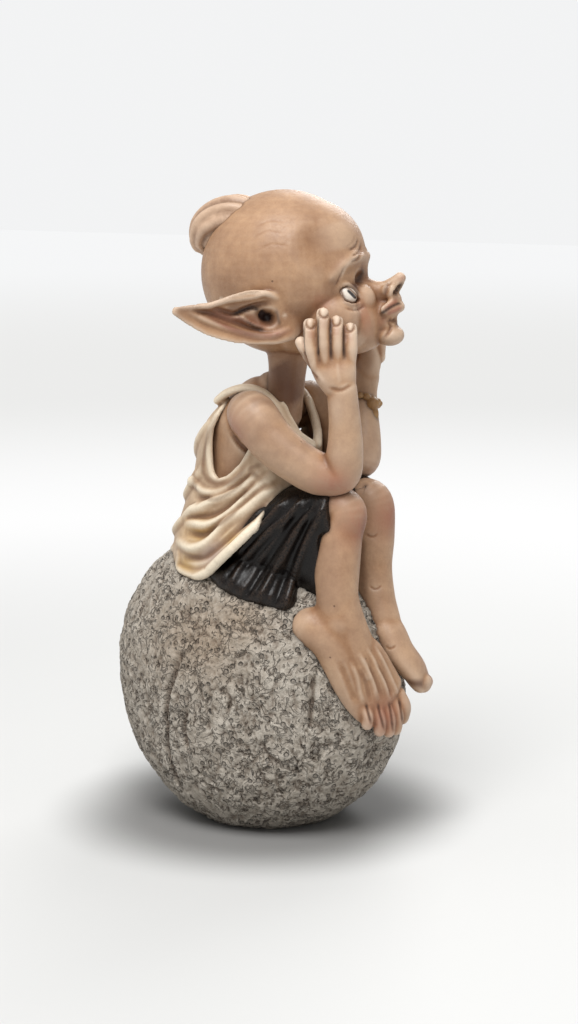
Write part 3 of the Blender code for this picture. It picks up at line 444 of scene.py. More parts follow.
# Painted shadow in the armhole gap, and brown paint with painted shade in the valleys of the folds
TUNIC_WASH_AND_SHADE = (
    (0.9, 1.7, ((215, 418), (207, 438), (203, 466), (206, 477), (214, 483), (227, 483), (240, 474),
         (246, 464))),
    (0.85, 1.2, ((190, 518), (214, 514), (234, 503), (254, 486))),
    (0.85, 1.3, ((186, 533), (204, 534), (222, 522), (244, 504), (264, 486))),
    (0.8, 1.2, ((186, 558), (204, 557), (222, 543), (244, 523), (268, 503))),
    (0.7, 1.0, ((196, 497), (216, 499), (238, 487), (252, 473))),
    (0.6, 1.4, ((192, 455), (194, 476), (196, 492))),
    (0.7, 1.2, ((262, 480), (250, 470), (262, 464))),
)

# Blots of flushed skin: point and reach
FLUSH = (
    ((31.6, -16, 99), 5.5), ((25.6, 14, 99), 5), ((36.5, -10, 88), 6), ((36.5, 8, 88), 6), ((44, -10, 36), 6),
    ((45, 12, 40), 5), ((3, -24, 112), 6),
)

# Pools of paint by pixel: across, down, reach
OCHRE_POOLS = ((200, 533, 14), (186, 566, 10), (232, 540, 9))
LAVENDER_POOLS = ((212, 553, 14),)
BROWN_POOLS = ((200, 640, 45), (240, 620, 30))

# The pieces that each piece meets, where shade is painted on it
TOUCHES = {
    "stone": ("tunic", "skirt", "legs"),
    "head": ("arms", "topknot", "eyes"),
    "arms": ("tunic", "skirt", "head", "legs", "bracelet"),
    "legs": ("skirt", "arms", "stone"),
    "tunic": ("skirt", "arms", "stone"),
    "skirt": ("tunic", "legs", "arms", "stone"),
    "topknot": ("head",),
    "bracelet": ("arms",),
}

# Lamps: name, place in metres, size, power
LAMPS = (
    ('key', (0.12, -0.4, 0.85), 0.5, 8.0), ('left', (-0.6, -0.15, 0.4), 0.4, 0.2),
    ('back', (-0.1, 0.6, 0.5), 0.4, 2.5),
)

# How finely each piece is skinned: legs and topknot, tunic and skirt, head and arms, bracelet
FINE = 0.36
COARSE = 0.42
MIDDLING = 0.44
BAND = 0.25


def clear_selection():
    """Nothing selected, object mode."""
    bpy.ops.object.select_all(action="DESELECT")


def only(piece):
    """Makes this the one selected and active object."""
    clear_selection()
    piece.select_set(True)
    bpy.context.view_layer.objects.active = piece


def flat(angle):
    """Forward and left at an angle from the front."""
    cos, sin = math.cos(angle), math.sin(angle)
    return np.array((cos, sin, 0.0)), np.array((-sin, cos, 0.0))


AHEAD, LEFT = flat(HEAD_TURN)
RIGHT = np.array((math.cos(TURN), math.sin(TURN), 0.0))
INTO = np.array((-math.sin(TURN) * math.cos(DROP), math.cos(TURN) * math.cos(DROP), -math.sin(DROP)))
RISE = np.cross(RIGHT, INTO)
LENS_POINT = AIM - INTO * DISTANCE


def place_camera():
    """The camera at the photograph's angle."""
    data = bpy.data.cameras.new("camera")
    data.sensor_width = SENSOR
    data.lens = SENSOR * DISTANCE / (PIXEL * PHOTO_HEIGHT)
    data.clip_start = 0.01
    data.clip_end = 20
    camera = bpy.data.objects.new("camera", data)
    bpy.context.collection.objects.link(camera)
    camera.location = LENS_POINT * MILLIMETRE
    camera.rotation_mode = "QUATERNION"
    camera.rotation_quaternion = Vector(INTO).to_track_quat("-Z", "Y")
    bpy.context.scene.camera = camera


def sight(across, down):
    """The direction seen at a pixel."""
    aim = INTO * DISTANCE + RIGHT * (across - MIDDLE[0]) * PIXEL + RISE * (MIDDLE[1] - down) * PIXEL
    return Vector(aim).normalized()


def pixels(co):
    """The pixel at which each point is seen."""
    away = co - LENS_POINT
    depth = away @ INTO
    scale = DISTANCE / PIXEL / depth
    return np.stack((MIDDLE[0] + (away @ RIGHT) * scale, MIDDLE[1] - (away @ RISE) * scale), axis=1)


def on_head(forward, right, up):
    """A point of the head in the figure's frame."""
    return HEAD + forward * AHEAD - right * LEFT + np.array((0.0, 0.0, up))


def over_head(points, about=True):
    """Points, or directions, mirrored to the head's other side."""
    points = np.asarray(points, float)
    offset = points - HEAD if about else points
    return points - 2 * (offset @ LEFT)[..., None] * LEFT


def over_body(points, about=True):
    """Points, or directions, mirrored to the body's other side, which is the same for both."""
    return np.asarray(points, float) * (1, -1, 1)


def mirrored(rows):
    """Head rows on the other side."""
    return tuple((row[0], -row[1]) + tuple(row[2:]) for row in rows)


def head_rows(rows):
    """Head rows in the figure's frame."""
    return tuple(tuple(on_head(*row[:3])) + tuple(row[3:]) for row in rows)


def smooth_path(rows, per):
    """A smooth curve through the rows."""
    p = np.array(rows, float)
    p = np.vstack([2 * p[0] - p[1], p, 2 * p[-1] - p[-2]])
    out = []
    for i in range(1, len(p) - 2):
        a, b, c, d = p[i - 1:i + 3]
        for t in np.linspace(0, 1, per, endpoint=False):
            bend = (2 * a - 5 * b + 4 * c - d) * t * t + (3 * b - a - 3 * c + d) * t ** 3
            out.append(0.5 * (2 * b + (c - a) * t + bend))
    out.append(p[-2])
    return np.array(out)


def unit(rows):
    """Each row at length one."""
    return rows / np.maximum(np.linalg.norm(rows, axis=-1, keepdims=True), 1e-9)


def from_rings(rings, closed=False, name="form"):
    """Skin over a run of rings, with its ends closed or joined to each other."""
    count = len(rings[0])
    points = [tuple(p) for ring in rings for p in ring]
    faces = []
    last = len(rings) if closed else len(rings) - 1
    for k in range(last):
        low, high = k * count, ((k + 1) % len(rings)) * count
        for i in range(count):
            j = (i + 1) % count
            faces.append((low + i, low + j, high + j, high + i))
    if not closed:
        faces.append(tuple(range(count))[::-1])
        faces.append(tuple(range((len(rings) - 1) * count, len(rings) * count)))
    mesh = bpy.data.meshes.new(name)
    mesh.from_pydata(points, [], faces)
    piece = bpy.data.objects.new(name, mesh)
    bpy.context.collection.objects.link(piece)
    return piece


def end_rings(path, size, round_ends, steps=5):
    """The path with rounded ends added."""
    way = unit(np.gradient(path, axis=0))
    if not round_ends:
        return list(zip(path, size, way))
    turns = [math.pi / 2 * k / steps for k in range(steps - 1, 0, -1)]
    first, last = [
        [(path[k] + sign * way[k] * min(size[k]) * math.sin(t), size[k] * math.cos(t), way[k]) for t in turns]
        for k, sign in ((0, -1), (-1, 1))]
    return first + list(zip(path, size, way)) + last[::-1]


def limb(rows, across=(0, 1, 0), cup=0.0, per=7, seg=32, square=1.0, round_ends=True):
    """A rounded limb through rows of point and half sizes."""
    path = smooth_path(rows, per)
    angle = np.linspace(0, 2 * math.pi, seg, endpoint=False)
    cos, sin = np.cos(angle), np.sin(angle)
    cos = np.sign(cos) * np.abs(cos) ** square
    sin = np.sign(sin) * np.abs(sin) ** square
    rings = []
    for centre, size, way in end_rings(path[:, :3], np.maximum(path[:, 3:5], 0.3), round_ends):
        side = np.array(across, float) - np.dot(across, way) * way
        side = side / np.linalg.norm(side)
        lift = np.cross(way, side)
        rise = sin * size[1] + cup * size[0] * (cos ** 2 - 0.5)
        rings.append(centre + np.outer(cos * size[0], side) + np.outer(rise, lift))
    return from_rings(rings)


def ball(centre, radii, turn=0.0, fine=40):
    """An egg at a point."""
    clear_selection()
    bpy.ops.mesh.primitive_uv_sphere_add(
        segments=fine, ring_count=fine // 2, radius=1,
        location=tuple(centre), rotation=(0, 0, turn), scale=tuple(radii))
    return bpy.context.active_object


def head_ball(place, radii, fine=40):
    """An egg in the head's frame."""
    return ball(on_head(*place), radii, HEAD_TURN, fine)


def joined(name, parts):
    """The parts as one object with its place in its mesh."""
    clear_selection()
    for part in parts:
        part.select_set(True)
    bpy.context.view_layer.objects.active = parts[0]
    bpy.ops.object.join()
    piece = bpy.context.active_object
    bpy.ops.object.transform_apply(location=True, rotation=True, scale=True)
    piece.name = name
    piece.data.name = name
    bpy.ops.object.mode_set(mode="EDIT")
    bpy.ops.mesh.select_all(action="SELECT")
    bpy.ops.mesh.normals_make_consistent(inside=False)
    bpy.ops.object.mode_set(mode="OBJECT")
    return piece


def apply_all(piece):
    """Applies the modifiers in turn."""
    only(piece)
    for step in list(piece.modifiers):
        bpy.ops.object.modifier_apply(modifier=step.name)


def skin(piece, grain, soft=4):
    """One even skin over the parts, joints softened, inner pockets dropped."""
    step = piece.modifiers.new("skin", "REMESH")
    step.mode = "VOXEL"
    step.voxel_size = grain
    ease = piece.modifiers.new("soft", "SMOOTH")
    ease.factor = 0.5
    ease.iterations = soft
    apply_all(piece)
    bpy.ops.object.mode_set(mode="EDIT")
    bpy.ops.mesh.select_all(action="DESELECT")
    bpy.ops.object.mode_set(mode="OBJECT")
    group = pocket_of(piece.data)
    inner = room_of(piece.data, group)[group] < 1.0
    if inner.any():
        piece.data.vertices.foreach_set("select", inner)
        bpy.ops.object.mode_set(mode="EDIT")
        bpy.ops.mesh.delete(type="VERT")
        bpy.ops.object.mode_set(mode="OBJECT")


def room_of(mesh, group):
    """The room inside each closed skin, below nought for a pocket."""
    corner = triangles(mesh)
    a, b, c = (reading(mesh)[0][corner[:, k]] for k in range(3))
    return np.bincount(group[corner[:, 0]], np.sum(a * np.cross(b, c), axis=1) / 6, group.max() + 1)


def pocket_of(mesh):
    """Which closed skin each point belongs to."""
    ends = np.empty(len(mesh.edges) * 2, np.int64)
    mesh.edges.foreach_get("vertices", ends)
    ends = ends.reshape(-1, 2)
    group = np.arange(len(mesh.vertices))
    while True:
        low = np.minimum(group[ends[:, 0]], group[ends[:, 1]])
        new = group.copy()
        np.minimum.at(new, ends[:, 0], low)
        np.minimum.at(new, ends[:, 1], low)
        new = new[new]
        if (new == group).all():
            return np.unique(group, return_inverse=True)[1]
        group = new


def reading(mesh):
    """Points and normals as arrays."""
    co = np.empty(len(mesh.vertices) * 3, np.float32)
    no = np.empty(len(mesh.vertices) * 3, np.float32)
    mesh.vertices.foreach_get("co", co)
    mesh.vertices.foreach_get("normal", no)
    return co.reshape(-1, 3).astype(float), no.reshape(-1, 3).astype(float)


def writing(mesh, co):
    """Puts moved points back."""
    mesh.vertices.foreach_set("co", co.astype(np.float32).ravel())
    mesh.update()


def triangles(mesh):
    """Corner numbers of the triangles."""
    mesh.calc_loop_triangles()
    corner = np.empty(len(mesh.loop_triangles) * 3, np.int32)
    mesh.loop_triangles.foreach_get("vertices", corner)
    return corner.reshape(-1, 3)


def tree_of(co, mesh):
    """A search tree over the mesh with these points."""
    return BVHTree.FromPolygons(co.tolist(), triangles(mesh).tolist(), all_triangles=True)


def laid_on(tree, points, per=12):
    """Pixels dropped on the surface seen there."""
    found = []
    for across, down in smooth_path(points, per):
        hit, normal, _, _ = tree.ray_cast(Vector(LENS_POINT), sight(across, down))
        if hit is not None:
            facing = np.array(normal)
            found.append((np.array(hit), facing if facing @ INTO < 0 else -facing))
    return found


def press(co, no, found, height, reach, marks=None):
    """Raises or sinks the surface along a run of points."""
    if len(found) < 2:
        return
    spots = np.array([spot for spot, _ in found])
    facing = np.array([normal for _, normal in found])
    near = np.all((co > spots.min(axis=0) - reach) & (co < spots.max(axis=0) + reach), axis=1)
    index = np.nonzero(near)[0]
    gap = np.linalg.norm(co[index, None, :] - spots[None, :, :], axis=2)
    nearest = gap.argmin(axis=1)
    gap = gap[np.arange(len(index)), nearest]
    end = np.minimum(nearest, len(spots) - 1 - nearest) / max(len(spots) / 5, 1)
    agree = np.clip(np.sum(no[index] * facing[nearest], axis=1) * 3, 0, 1)
    amount = agree * np.clip(1 - (gap / reach) ** 2, 0, 1) ** 2 * np.clip(0.3 + end, 0, 1)
    co[index] += no[index] * (height * amount)[:, None]
    if marks is not None:
        marks[index] = np.maximum(marks[index], amount)


def seen(piece, mirror=None):
    """Points and normals of a piece, mirrored where its other side is worked on."""
    co, no = reading(piece.data)
    return (mirror(co), mirror(no, False)) if mirror else (co, no)


def put_back(piece, co, mirror=None):
    """Moved points back on the side that they came from."""
    writing(piece.data, mirror(co) if mirror else co)


def stroked(piece, strokes, mirror=None):
    """Draws strokes on the piece where the photograph shows them, or on its other side."""
    co, no = seen(piece, mirror)
    tree = tree_of(co, piece.data)
    for height, reach, points in strokes:
        press(co, no, laid_on(tree, points), height, reach)
    put_back(piece, co, mirror)


def brushed(piece, lines, mirrors=(None,)):
    """How strongly brush lines that follow the photograph touch each point."""
    value = np.zeros(len(piece.data.vertices))
    for mirror in mirrors:
        co, no = seen(piece, mirror)
        tree = tree_of(co, piece.data)
        for strength, reach, points in lines:
            marks = np.zeros(len(co))
            press(co, no, laid_on(tree, points), 0, reach, marks)
            value = np.maximum(value, strength * marks)
    return value


def melted(piece, place, reach, steps):
    """Softens the skin round a place."""
    co, _ = reading(piece.data)
    share = np.clip(1 - (np.linalg.norm(co - np.array(place), axis=1) / reach) ** 2, 0, 1)[:, None]
    writing(piece.data, co + share * (neighbours_mean(piece.data, co, steps) - co))


def hollowed(piece, hollows, mirror=None):
    """Sinks round hollows at pixels."""
    co, no = seen(piece, mirror)
    tree = tree_of(co, piece.data)
    for across, down, depth, reach in hollows:
        found = laid_on(tree, ((across, down), (across, down + 0.01)), 1)
        if found:
            spot, facing = found[0]
            gap = np.linalg.norm(co - spot, axis=1)
            agree = np.clip((no @ facing) * 3, 0, 1)
            co -= facing * (depth * agree * np.clip(1 - (gap / reach) ** 2, 0, 1) ** 2)[:, None]
    put_back(piece, co, mirror)


def inside(shape, spots):
    """Which pixel spots lie in an outline."""
    result = np.zeros(len(spots), bool)
    for (ax, ay), (bx, by) in zip(shape, shape[1:] + shape[:1]):
        between = (ay > spots[:, 1]) != (by > spots[:, 1])
        cross = (bx - ax) * (spots[:, 1] - ay) / (by - ay if by != ay else 1e-9) + ax
        result ^= between & (spots[:, 0] < cross)
    return result


def edge_gap(shape, spots):
    """Distance in pixels from each spot to an outline."""
    best = np.full(len(spots), 1e9)
    for a, b in zip(shape, shape[1:] + shape[:1]):
        a, b = np.array(a, float), np.array(b, float)
        t = np.clip(((spots - a) @ (b - a)) / max((b - a) @ (b - a), 1e-9), 0, 1)
        best = np.minimum(best, np.linalg.norm(spots - a - t[:, None] * (b - a), axis=1))
    return best


def eased(piece, steps, factor=0.5):
    """A light smoothing."""
    ease = piece.modifiers.new("ease", "SMOOTH")
    ease.factor = factor
    ease.iterations = steps
    apply_all(piece)


def neighbours_mean(mesh, values, steps):
    """Values averaged over their neighbours, this many times."""
    ends = np.empty(len(mesh.edges) * 2, np.int64)
    mesh.edges.foreach_get("vertices", ends)
    a, b = ends[0::2], ends[1::2]
    count = np.bincount(a, minlength=len(values)) + np.bincount(b, minlength=len(values))
    count = np.maximum(count, 1)
    out = values.astype(float).copy()
    for _ in range(steps):
        cols = out if out.ndim == 2 else out[:, None]
        sums = [np.bincount(a, c[b], len(values)) + np.bincount(b, c[a], len(values)) for c in cols.T]
        new = np.stack(sums, axis=1) / count[:, None]
        out = 0.4 * out + 0.6 * (new if out.ndim == 2 else new[:, 0])
    return out


def keep(piece, name, values):
    """Stores a value for each point."""
    layer = piece.data.attributes.new(name, "FLOAT", "POINT")
    layer.data.foreach_set("value", np.clip(values, 0, 1).astype(np.float32))


def relief(piece, steps, depth):
    """How far each point lies below its surroundings, and above them, from 0 to 1."""
    co, no = reading(piece.data)
    mean = neighbours_mean(piece.data, co, steps)
    rise = np.sum((mean - co) * no, axis=1)
    return np.clip(rise / depth, 0, 1), np.clip(-rise / depth, 0, 1)


def closeness(piece, others, reach):
    """How close each point is to the other pieces, from 0 to 1."""
    co, _ = reading(piece.data)
    value = np.zeros(len(co))
    for other in others:
        there, _ = reading(other.data)
        low, high = there.min(axis=0) - reach, there.max(axis=0) + reach
        tree = tree_of(there, other.data)
        for i in np.nonzero(np.all((co > low) & (co < high), axis=1))[0]:
            gap = tree.find_nearest(Vector(co[i]), reach)[3]
            if gap is not None:
                value[i] = max(value[i], 1 - gap / reach)
    return value


def spots_of(co, spots):
    """A soft blot round each of the given places: point and reach."""
    value = np.zeros(len(co))
    for place, reach in spots:
        gap = np.linalg.norm(co - np.array(place), axis=1)
        value = np.maximum(value, np.exp(-(gap / reach) ** 2))
    return value


def make_stone():
    """The stone, leaning back and broader at its base, with its pits and cracks."""
    clear_selection()
    bpy.ops.mesh.primitive_cube_add(size=2)
    piece = bpy.context.active_object
    piece.name = piece.data.name = "stone"
    bpy.ops.object.mode_set(mode="EDIT")
    bpy.ops.mesh.select_all(action="SELECT")
    bpy.ops.mesh.subdivide(number_cuts=STONE_CUTS)
    bpy.ops.object.mode_set(mode="OBJECT")
    co, _ = reading(piece.data)
    co = np.tan(co * math.pi / 4 * 0.999)
    co = unit(co) * (np.array(STONE_SIZE) / 2)
    lean = np.array(Matrix.Rotation(STONE_LEAN, 3, "Y"))
    co = co @ lean.T + np.array(STONE_CENTRE)
    low = np.clip((STONE_CENTRE[2] - co[:, 2]) / STONE_CENTRE[2], 0, 1)
    co[:, 1] *= 1 + BASE_SPREAD * low ** 2
    writing(piece.data, co)
    pitted(piece)
    only(piece)
    bpy.ops.object.mode_set(mode="EDIT")
    bpy.ops.mesh.select_all(action="SELECT")
    bpy.ops.mesh.bisect(plane_co=(0, 0, 0), plane_no=(0, 0, 1), clear_inner=True, use_fill=True)
    bpy.ops.object.mode_set(mode="OBJECT")
    return piece


def pitted(piece):
    """Low lumps, dense worm-like pits and cracks."""
    co, no = reading(piece.data)
    pit = np.zeros(len(co))
    for i, p in enumerate(co):
        v = Vector(p)
        warp = Vector([noise.noise(v * 0.5 + Vector(shift)) for shift in ((0, 0, 0), (9, 0, 0), (0, 9, 0))])
        near, far = noise.voronoi(v * 0.3 + warp * 0.6)[0][:2]
        edge = max(0.0, 1 - (far - near) / 0.2)
        field = 0.5 + 0.5 * noise.noise(v * 0.11 + Vector((0, 90, 0)))
        worm = max(0.0, 1 - abs(noise.noise(v * 0.34 + Vector((60, 0, 0)))) / 0.12)
        spread = max(0.0, 0.35 + noise.noise(v * 0.3 + Vector((0, 0, 70))))
        pit[i] = min(1.0, max(edge * min(1.0, spread * 1.6), worm * field) * (0.6 + 0.4 * field))
        rough = noise.noise(v * 0.14) * 0.5 + noise.noise(v * 0.45) * 0.25
        co[i] += no[i] * (rough + noise.noise(v * 1.4) * 0.1 - PIT_DEPTH * pit[i])
    writing(piece.data, co)
    co, no = reading(piece.data)
    tree = tree_of(co, piece.data)
    marks = np.zeros(len(co))
    for height, reach, points in STONE_CRACKS:
        press(co, no, laid_on(tree, points), height, reach, marks)
    writing(piece.data, co)
    keep(piece, "pit", np.maximum(pit, marks))


def make_head():
    """Skull, face and ears."""
    parts = [head_ball(*SKULL, 64), head_ball(*FOREHEAD, 64)]
    parts += [limb(head_rows(MUZZLE), LEFT, seg=40), limb(head_rows(NOSE), LEFT, seg=24), head_ball(*CHIN)]
    parts += [limb(NECK, seg=40), head_ball(*NOSE_ROOT)]
    for flip in (tuple, mirrored):
        for place, half in (CHEEK, EYE_SOCKET, NOSE_WING, MOUTH_SIDE):
            parts.append(head_ball(flip((place,))[0], half))
        for rows in (BROW, UPPER_LIP, LOWER_LIP):
            parts.append(limb(head_rows(flip(rows)), (0, 0, 1), seg=20))
    for flip, cup in ((tuple, -EAR_CUP), (mirrored, EAR_CUP)):
        parts.append(limb(head_rows(flip(EAR)), (0, 0, 1), cup=cup, seg=44))
    piece = joined("head", parts)
    skin(piece, MIDDLING, 2)
    for place, reach, steps in HEAD_SOFTENED:
        melted(piece, on_head(*place), reach, steps)
    for mirror in (None, over_head):
        stroked(piece, EAR_STROKES + FACE_STROKES + SCALP_STROKES, mirror)
        hollowed(piece, HEAD_HOLLOWS, mirror)
        open_eye(piece, mirror)
        stroked(piece, NOSTRIL_STROKES, mirror)
    return piece


def open_eye(piece, mirror):
    """Sinks the skin inside the outline of the eye so that the eyeball shows."""
    co, no = seen(piece, mirror)
    spots = pixels(co)
    near = np.linalg.norm(co - on_head(*EYE_SOCKET[0]), axis=1) < 5.5
    index = np.nonzero(near & (no @ INTO < 0.3))[0]
    gap = edge_gap(EYE, spots[index])
    within, beyond = np.clip(gap / 1.6 + 0.35, 0, 1), np.clip(0.35 - gap / 3, 0, 1) * 0.4
    amount = np.where(inside(EYE, spots[index]), within, beyond)
    co[index] -= no[index] * (amount * EYE_DEPTH)[:, None]
    put_back(piece, co, mirror)


def make_eyes():
    """Both eyeballs, with the painted slit and white kept as values."""
    (forward, aside, up), half = EYEBALL
    parts = [ball(on_head(forward, side * aside, up), half, HEAD_TURN, 120) for side in (1, -1)]
    piece = joined("eyes", parts)
    slit, white = np.zeros((2, len(piece.data.vertices)))
    for mirror in (None, over_head):
        co, _ = seen(piece, mirror)
        spots = pixels(co)
        here = (co - HEAD) @ -LEFT > 0
        slit = np.maximum(slit, np.where(here, np.clip((1.7 - edge_gap(EYE_SLIT, spots)) / 0.7, 0, 1), 0))
        white = np.maximum(white, np.where(here, np.clip(edge_gap(EYE, spots) / 2.2, 0, 1), 0))
    keep(piece, "slit", slit)
    keep(piece, "white", white)
    return piece


def make_topknot():
    """The curl of hair, from strands that run along it."""
    parts = [limb(head_rows(TOPKNOT), LEFT, seg=32)]
    path = smooth_path(head_rows(TOPKNOT), 5)
    way = unit(np.gradient(path[:, :3], axis=0))
    for k in range(STRANDS):
        strand = []
        for i, row in enumerate(path):
            side = unit(LEFT - (LEFT @ way[i]) * way[i])
            lift = np.cross(way[i], side)
            turn = 2 * math.pi * k / STRANDS + STRAND_TWIST * i / len(path)
            out = (side * math.cos(turn) * row[3] + lift * math.sin(turn) * row[4]) * STRAND_OUT
            strand.append(tuple(row[:3] + out) + (row[3] * STRAND_SIZE, row[4] * STRAND_SIZE))
        parts.append(limb(strand[::2], (0, 0, 1), per=3, seg=12))
    piece = joined("topknot", parts)
    skin(piece, FINE, 2)
    return piece


def fingers(lines, across):
    """Slender fingers, with a little swell at each joint."""
    parts = []
    for points in lines:
        rows = [tuple(p) + (half, half * 0.9) for p, half in zip(smooth_path(points, 5), FINGER_WIDTHS)]
        parts.append(limb(rows, across, per=2, seg=20))
    return parts


def make_arms():
    """Chest, shoulders, arms and hands."""
    parts = [limb(TORSO[3:], seg=48), limb(NEAR_ARM, seg=40), limb(FAR_ARM, seg=40)]
    (x, y, z), half = SHOULDER
    parts += [ball((x, y * side, z), half) for side in (-1, 1)]
    parts += [limb(NEAR_PALM, NEAR_HAND_ACROSS), limb(FAR_PALM, FAR_HAND_ACROSS)]
    far = [[tuple(over_head(p)) for p in row] for row in NEAR_FINGERS]
    thumbs = (NEAR_THUMB, [tuple(over_head(p)) for p in NEAR_THUMB])
    for lines, across in ((NEAR_FINGERS, NEAR_HAND_ACROSS), (far, FAR_HAND_ACROSS), (thumbs, (0, 1, 0))):
        parts += fingers(lines, across)
    piece = joined("arms", parts)
    skin(piece, MIDDLING, 2)
    stroked(piece, ARM_STROKES)
    for mirror in (None, over_head):
        stroked(piece, HAND_STROKES + nail_rings(NAILS), mirror)
    return piece


def nail_rings(nails):
    """Fine grooves round the nails."""
    turn = np.linspace(0, 2 * math.pi, 15)
    return tuple(
        (-0.34, 0.62, [(across + wide * math.sin(t), down - tall * math.cos(t)) for t in turn])
        for across, down, wide, tall in nails)


def toes(lines):
    """Short toes that bend down at the tip."""
    parts = []
    for root, tip, half in lines:
        middle = [(a + b) / 2 for a, b in zip(root, tip)]
        middle[0] += 1.1
        rows = (
            tuple(root) + (half, half),
            tuple(middle) + (half, half * 0.95),
            tuple(tip) + (half * 0.97, half * 0.88),
        )
        parts.append(limb(rows, seg=20))
    return parts


def make_legs():
    """Legs and bare feet."""
    parts = [limb(NEAR_LEG, seg=40), limb(FAR_LEG, seg=40)]
    parts += [limb(NEAR_FOOT, NEAR_FOOT_ACROSS, seg=36), limb(FAR_FOOT, FAR_FOOT_ACROSS, seg=36)]
    parts += [ball(*NEAR_ANKLE), limb(INSTEP, (0, 1, 0), seg=36)]
    parts += toes(NEAR_TOES) + toes(FAR_TOES)
    piece = joined("legs", parts)
    skin(piece, FINE, 3)
    for place, reach, steps in LEGS_SOFTENED:
        melted(piece, place, reach, steps)
    stroked(piece, FOOT_STROKES)
    stroked(piece, [(-0.35, 0.8, points) for _, _, points in TOE_GAPS])
    return piece


def body_point(angle, height, off):
    """A point of the loose cloth round the body at a height."""
    rows = smooth_path(TORSO, 8)
    x, hy, hx = (np.interp(height, rows[:, 2], rows[:, k]) for k in (0, 3, 4))
    low = np.clip((96 - height) / 16, 0, 1)
    front = math.exp(-(angle / math.radians(38)) ** 2) * np.clip((119 - height) / 12, 0, 1)
    back = np.clip(abs(angle) / math.pi - 0.5, 0, 0.5) * 2
    out = off + TUNIC_ROOM + (HEM_ROOM - HEM_LESS_BACK * back) * low + CHEST_ROOM * front
    return x + (hx + out) * math.cos(angle), (hy + out) * math.sin(angle), height


def cloth_edges(angle):
    """Upper and lower edge of the tunic at an angle."""
    table = np.array(TUNIC, float)
    at = abs(math.degrees(angle))
    return np.interp(at, table[:, 0], table[:, 1]), np.interp(at, table[:, 0], table[:, 2])


def make_tunic():
    """The loose tunic with rolled edges, straps and folds."""
    angles = np.linspace(-math.pi, math.pi, TUNIC_POINTS, endpoint=False)
    last = TUNIC_ROWS - 1
    sides = []
    for off in CLOTH_SIDES:
        rows = []
        for k in range(TUNIC_ROWS):
            row = []
            for angle in angles:
                top, low = cloth_edges(angle)
                row.append(body_point(angle, low + (top - low) * k / last, off + swell(angle, k / last)))
            rows.append(row)
        sides.append(rows)
    parts = [from_rings(sides[0] + sides[1][::-1], closed=True)]
    for edge in (0, 1):
        rim = [(angle, cloth_edges(angle)[edge], RIM + swell(angle, 1 - edge)) for angle in angles[::2]]
        parts.append(bead(np.array([body_point(*spot) for spot in rim]), RIM))
    for side in (1, -1):
        rows = [(x, y * side, z, 1.9 - 0.06 * i, 1.2) for i, (x, y, z) in enumerate(STRAP)]
        parts.append(limb(rows, (0, 1, 0.2 * side), seg=20))
    piece = joined("tunic", parts)
    skin(piece, COARSE, 4)
    for mirror in (None, over_body):
        stroked(piece, TUNIC_STROKES, mirror)
    fold_back(piece)
    eased(piece, 2)
    return piece


def swell(angle, rise):
    """How much further the tunic stands out where it lies over the lap."""
    aside = (abs(math.degrees(angle)) - LAP_SWELL_AT) / LAP_SWELL_WIDTH
    return LAP_SWELL * math.exp(-aside ** 2) * (1 - rise) ** 0.9


def bead(path, half, seg=14):
    """A round bead that closes on itself."""
    way = unit(np.roll(path, -1, axis=0) - np.roll(path, 1, axis=0))
    out = unit((path - path.mean(axis=0)) * (1, 1, 0))
    lift = np.cross(way, out)
    turns = np.linspace(0, 2 * math.pi, seg, endpoint=False)
    cos, sin = np.cos(turns), np.sin(turns)
    rings = [p + half * (np.outer(cos, o) + np.outer(sin, l)) for p, o, l in zip(path, out, lift)]
    return from_rings(rings, closed=True)


def fold_back(piece):
    """Folds that hang across the back."""
    co, no = reading(piece.data)
    tree = tree_of(co, piece.data)
    for height, reach, points in BACK_FOLDS:
        turns = np.unwrap(np.radians([angle for angle, _ in points]))
        path = smooth_path(list(zip(turns, [rise for _, rise in points])), 16)
        found = [tree.find_nearest(Vector(body_point(angle, rise, 2.2)))[:2] for angle, rise in path]
        press(co, no, [(np.array(spot), np.array(normal)) for spot, normal in found], height, reach)
    writing(piece.data, co)


def draped(outline, half, sink, step=4.5):
    """Pads laid on the stone inside an outline of pixels, on both sides."""
    wide = np.arange(min(p[0] for p in outline), max(p[0] for p in outline), step)
    tall = np.arange(min(p[1] for p in outline), max(p[1] for p in outline), step)
    inset = half / PIXEL * 0.8
    spots = np.array([(a, b) for a in wide for b in tall])
    spots = spots[inside(outline, spots) & (edge_gap(outline, spots) > inset)]
    spots = np.vstack([spots, inner_line(outline, inset)])
    pad = ball((0, 0, 0), (half, half, half), 0, 16)
    bpy.ops.object.transform_apply(location=True, rotation=True, scale=True)
    parts = []
    for across, down in spots:
        place = on_plain_stone(across, down, sink)
        if place is not None:
            for side in (1, -1):
                more = pad.copy()
                more.data = pad.data.copy()
                more.data.transform(Matrix.Translation(Vector(place * (1, side, 1))))
                bpy.context.collection.objects.link(more)
                parts.append(more)
    bpy.data.objects.remove(pad)
    return parts


def inner_line(outline, inset, step=2.0):
    """Spots along an outline, moved inwards."""
    found = []
    for a, b in zip(outline, outline[1:] + outline[:1]):
        a, b = np.array(a, float), np.array(b, float)
        along = (b - a) / np.linalg.norm(b - a)
        aside = np.array((-along[1], along[0])) * inset
        if not inside(outline, np.array([(a + b) / 2 + aside * 0.2]))[0]:
            aside = -aside
        for t in np.arange(0, np.linalg.norm(b - a), step):
            found.append(a + along * t + aside)
    found = np.array(found)
    return found[inside(outline, found) & (edge_gap(outline, found) > inset * 0.94)]


def on_plain_stone(across, down, sink):
    """The point this far under the plain stone's skin that is seen at a pixel."""
    aim = np.array(sight(across, down))
    for far in np.linspace(DISTANCE - 60, DISTANCE + 40, 260):
        point = LENS_POINT + aim * far
        if out_of_stone(point) < -sink:
            return point
    return None


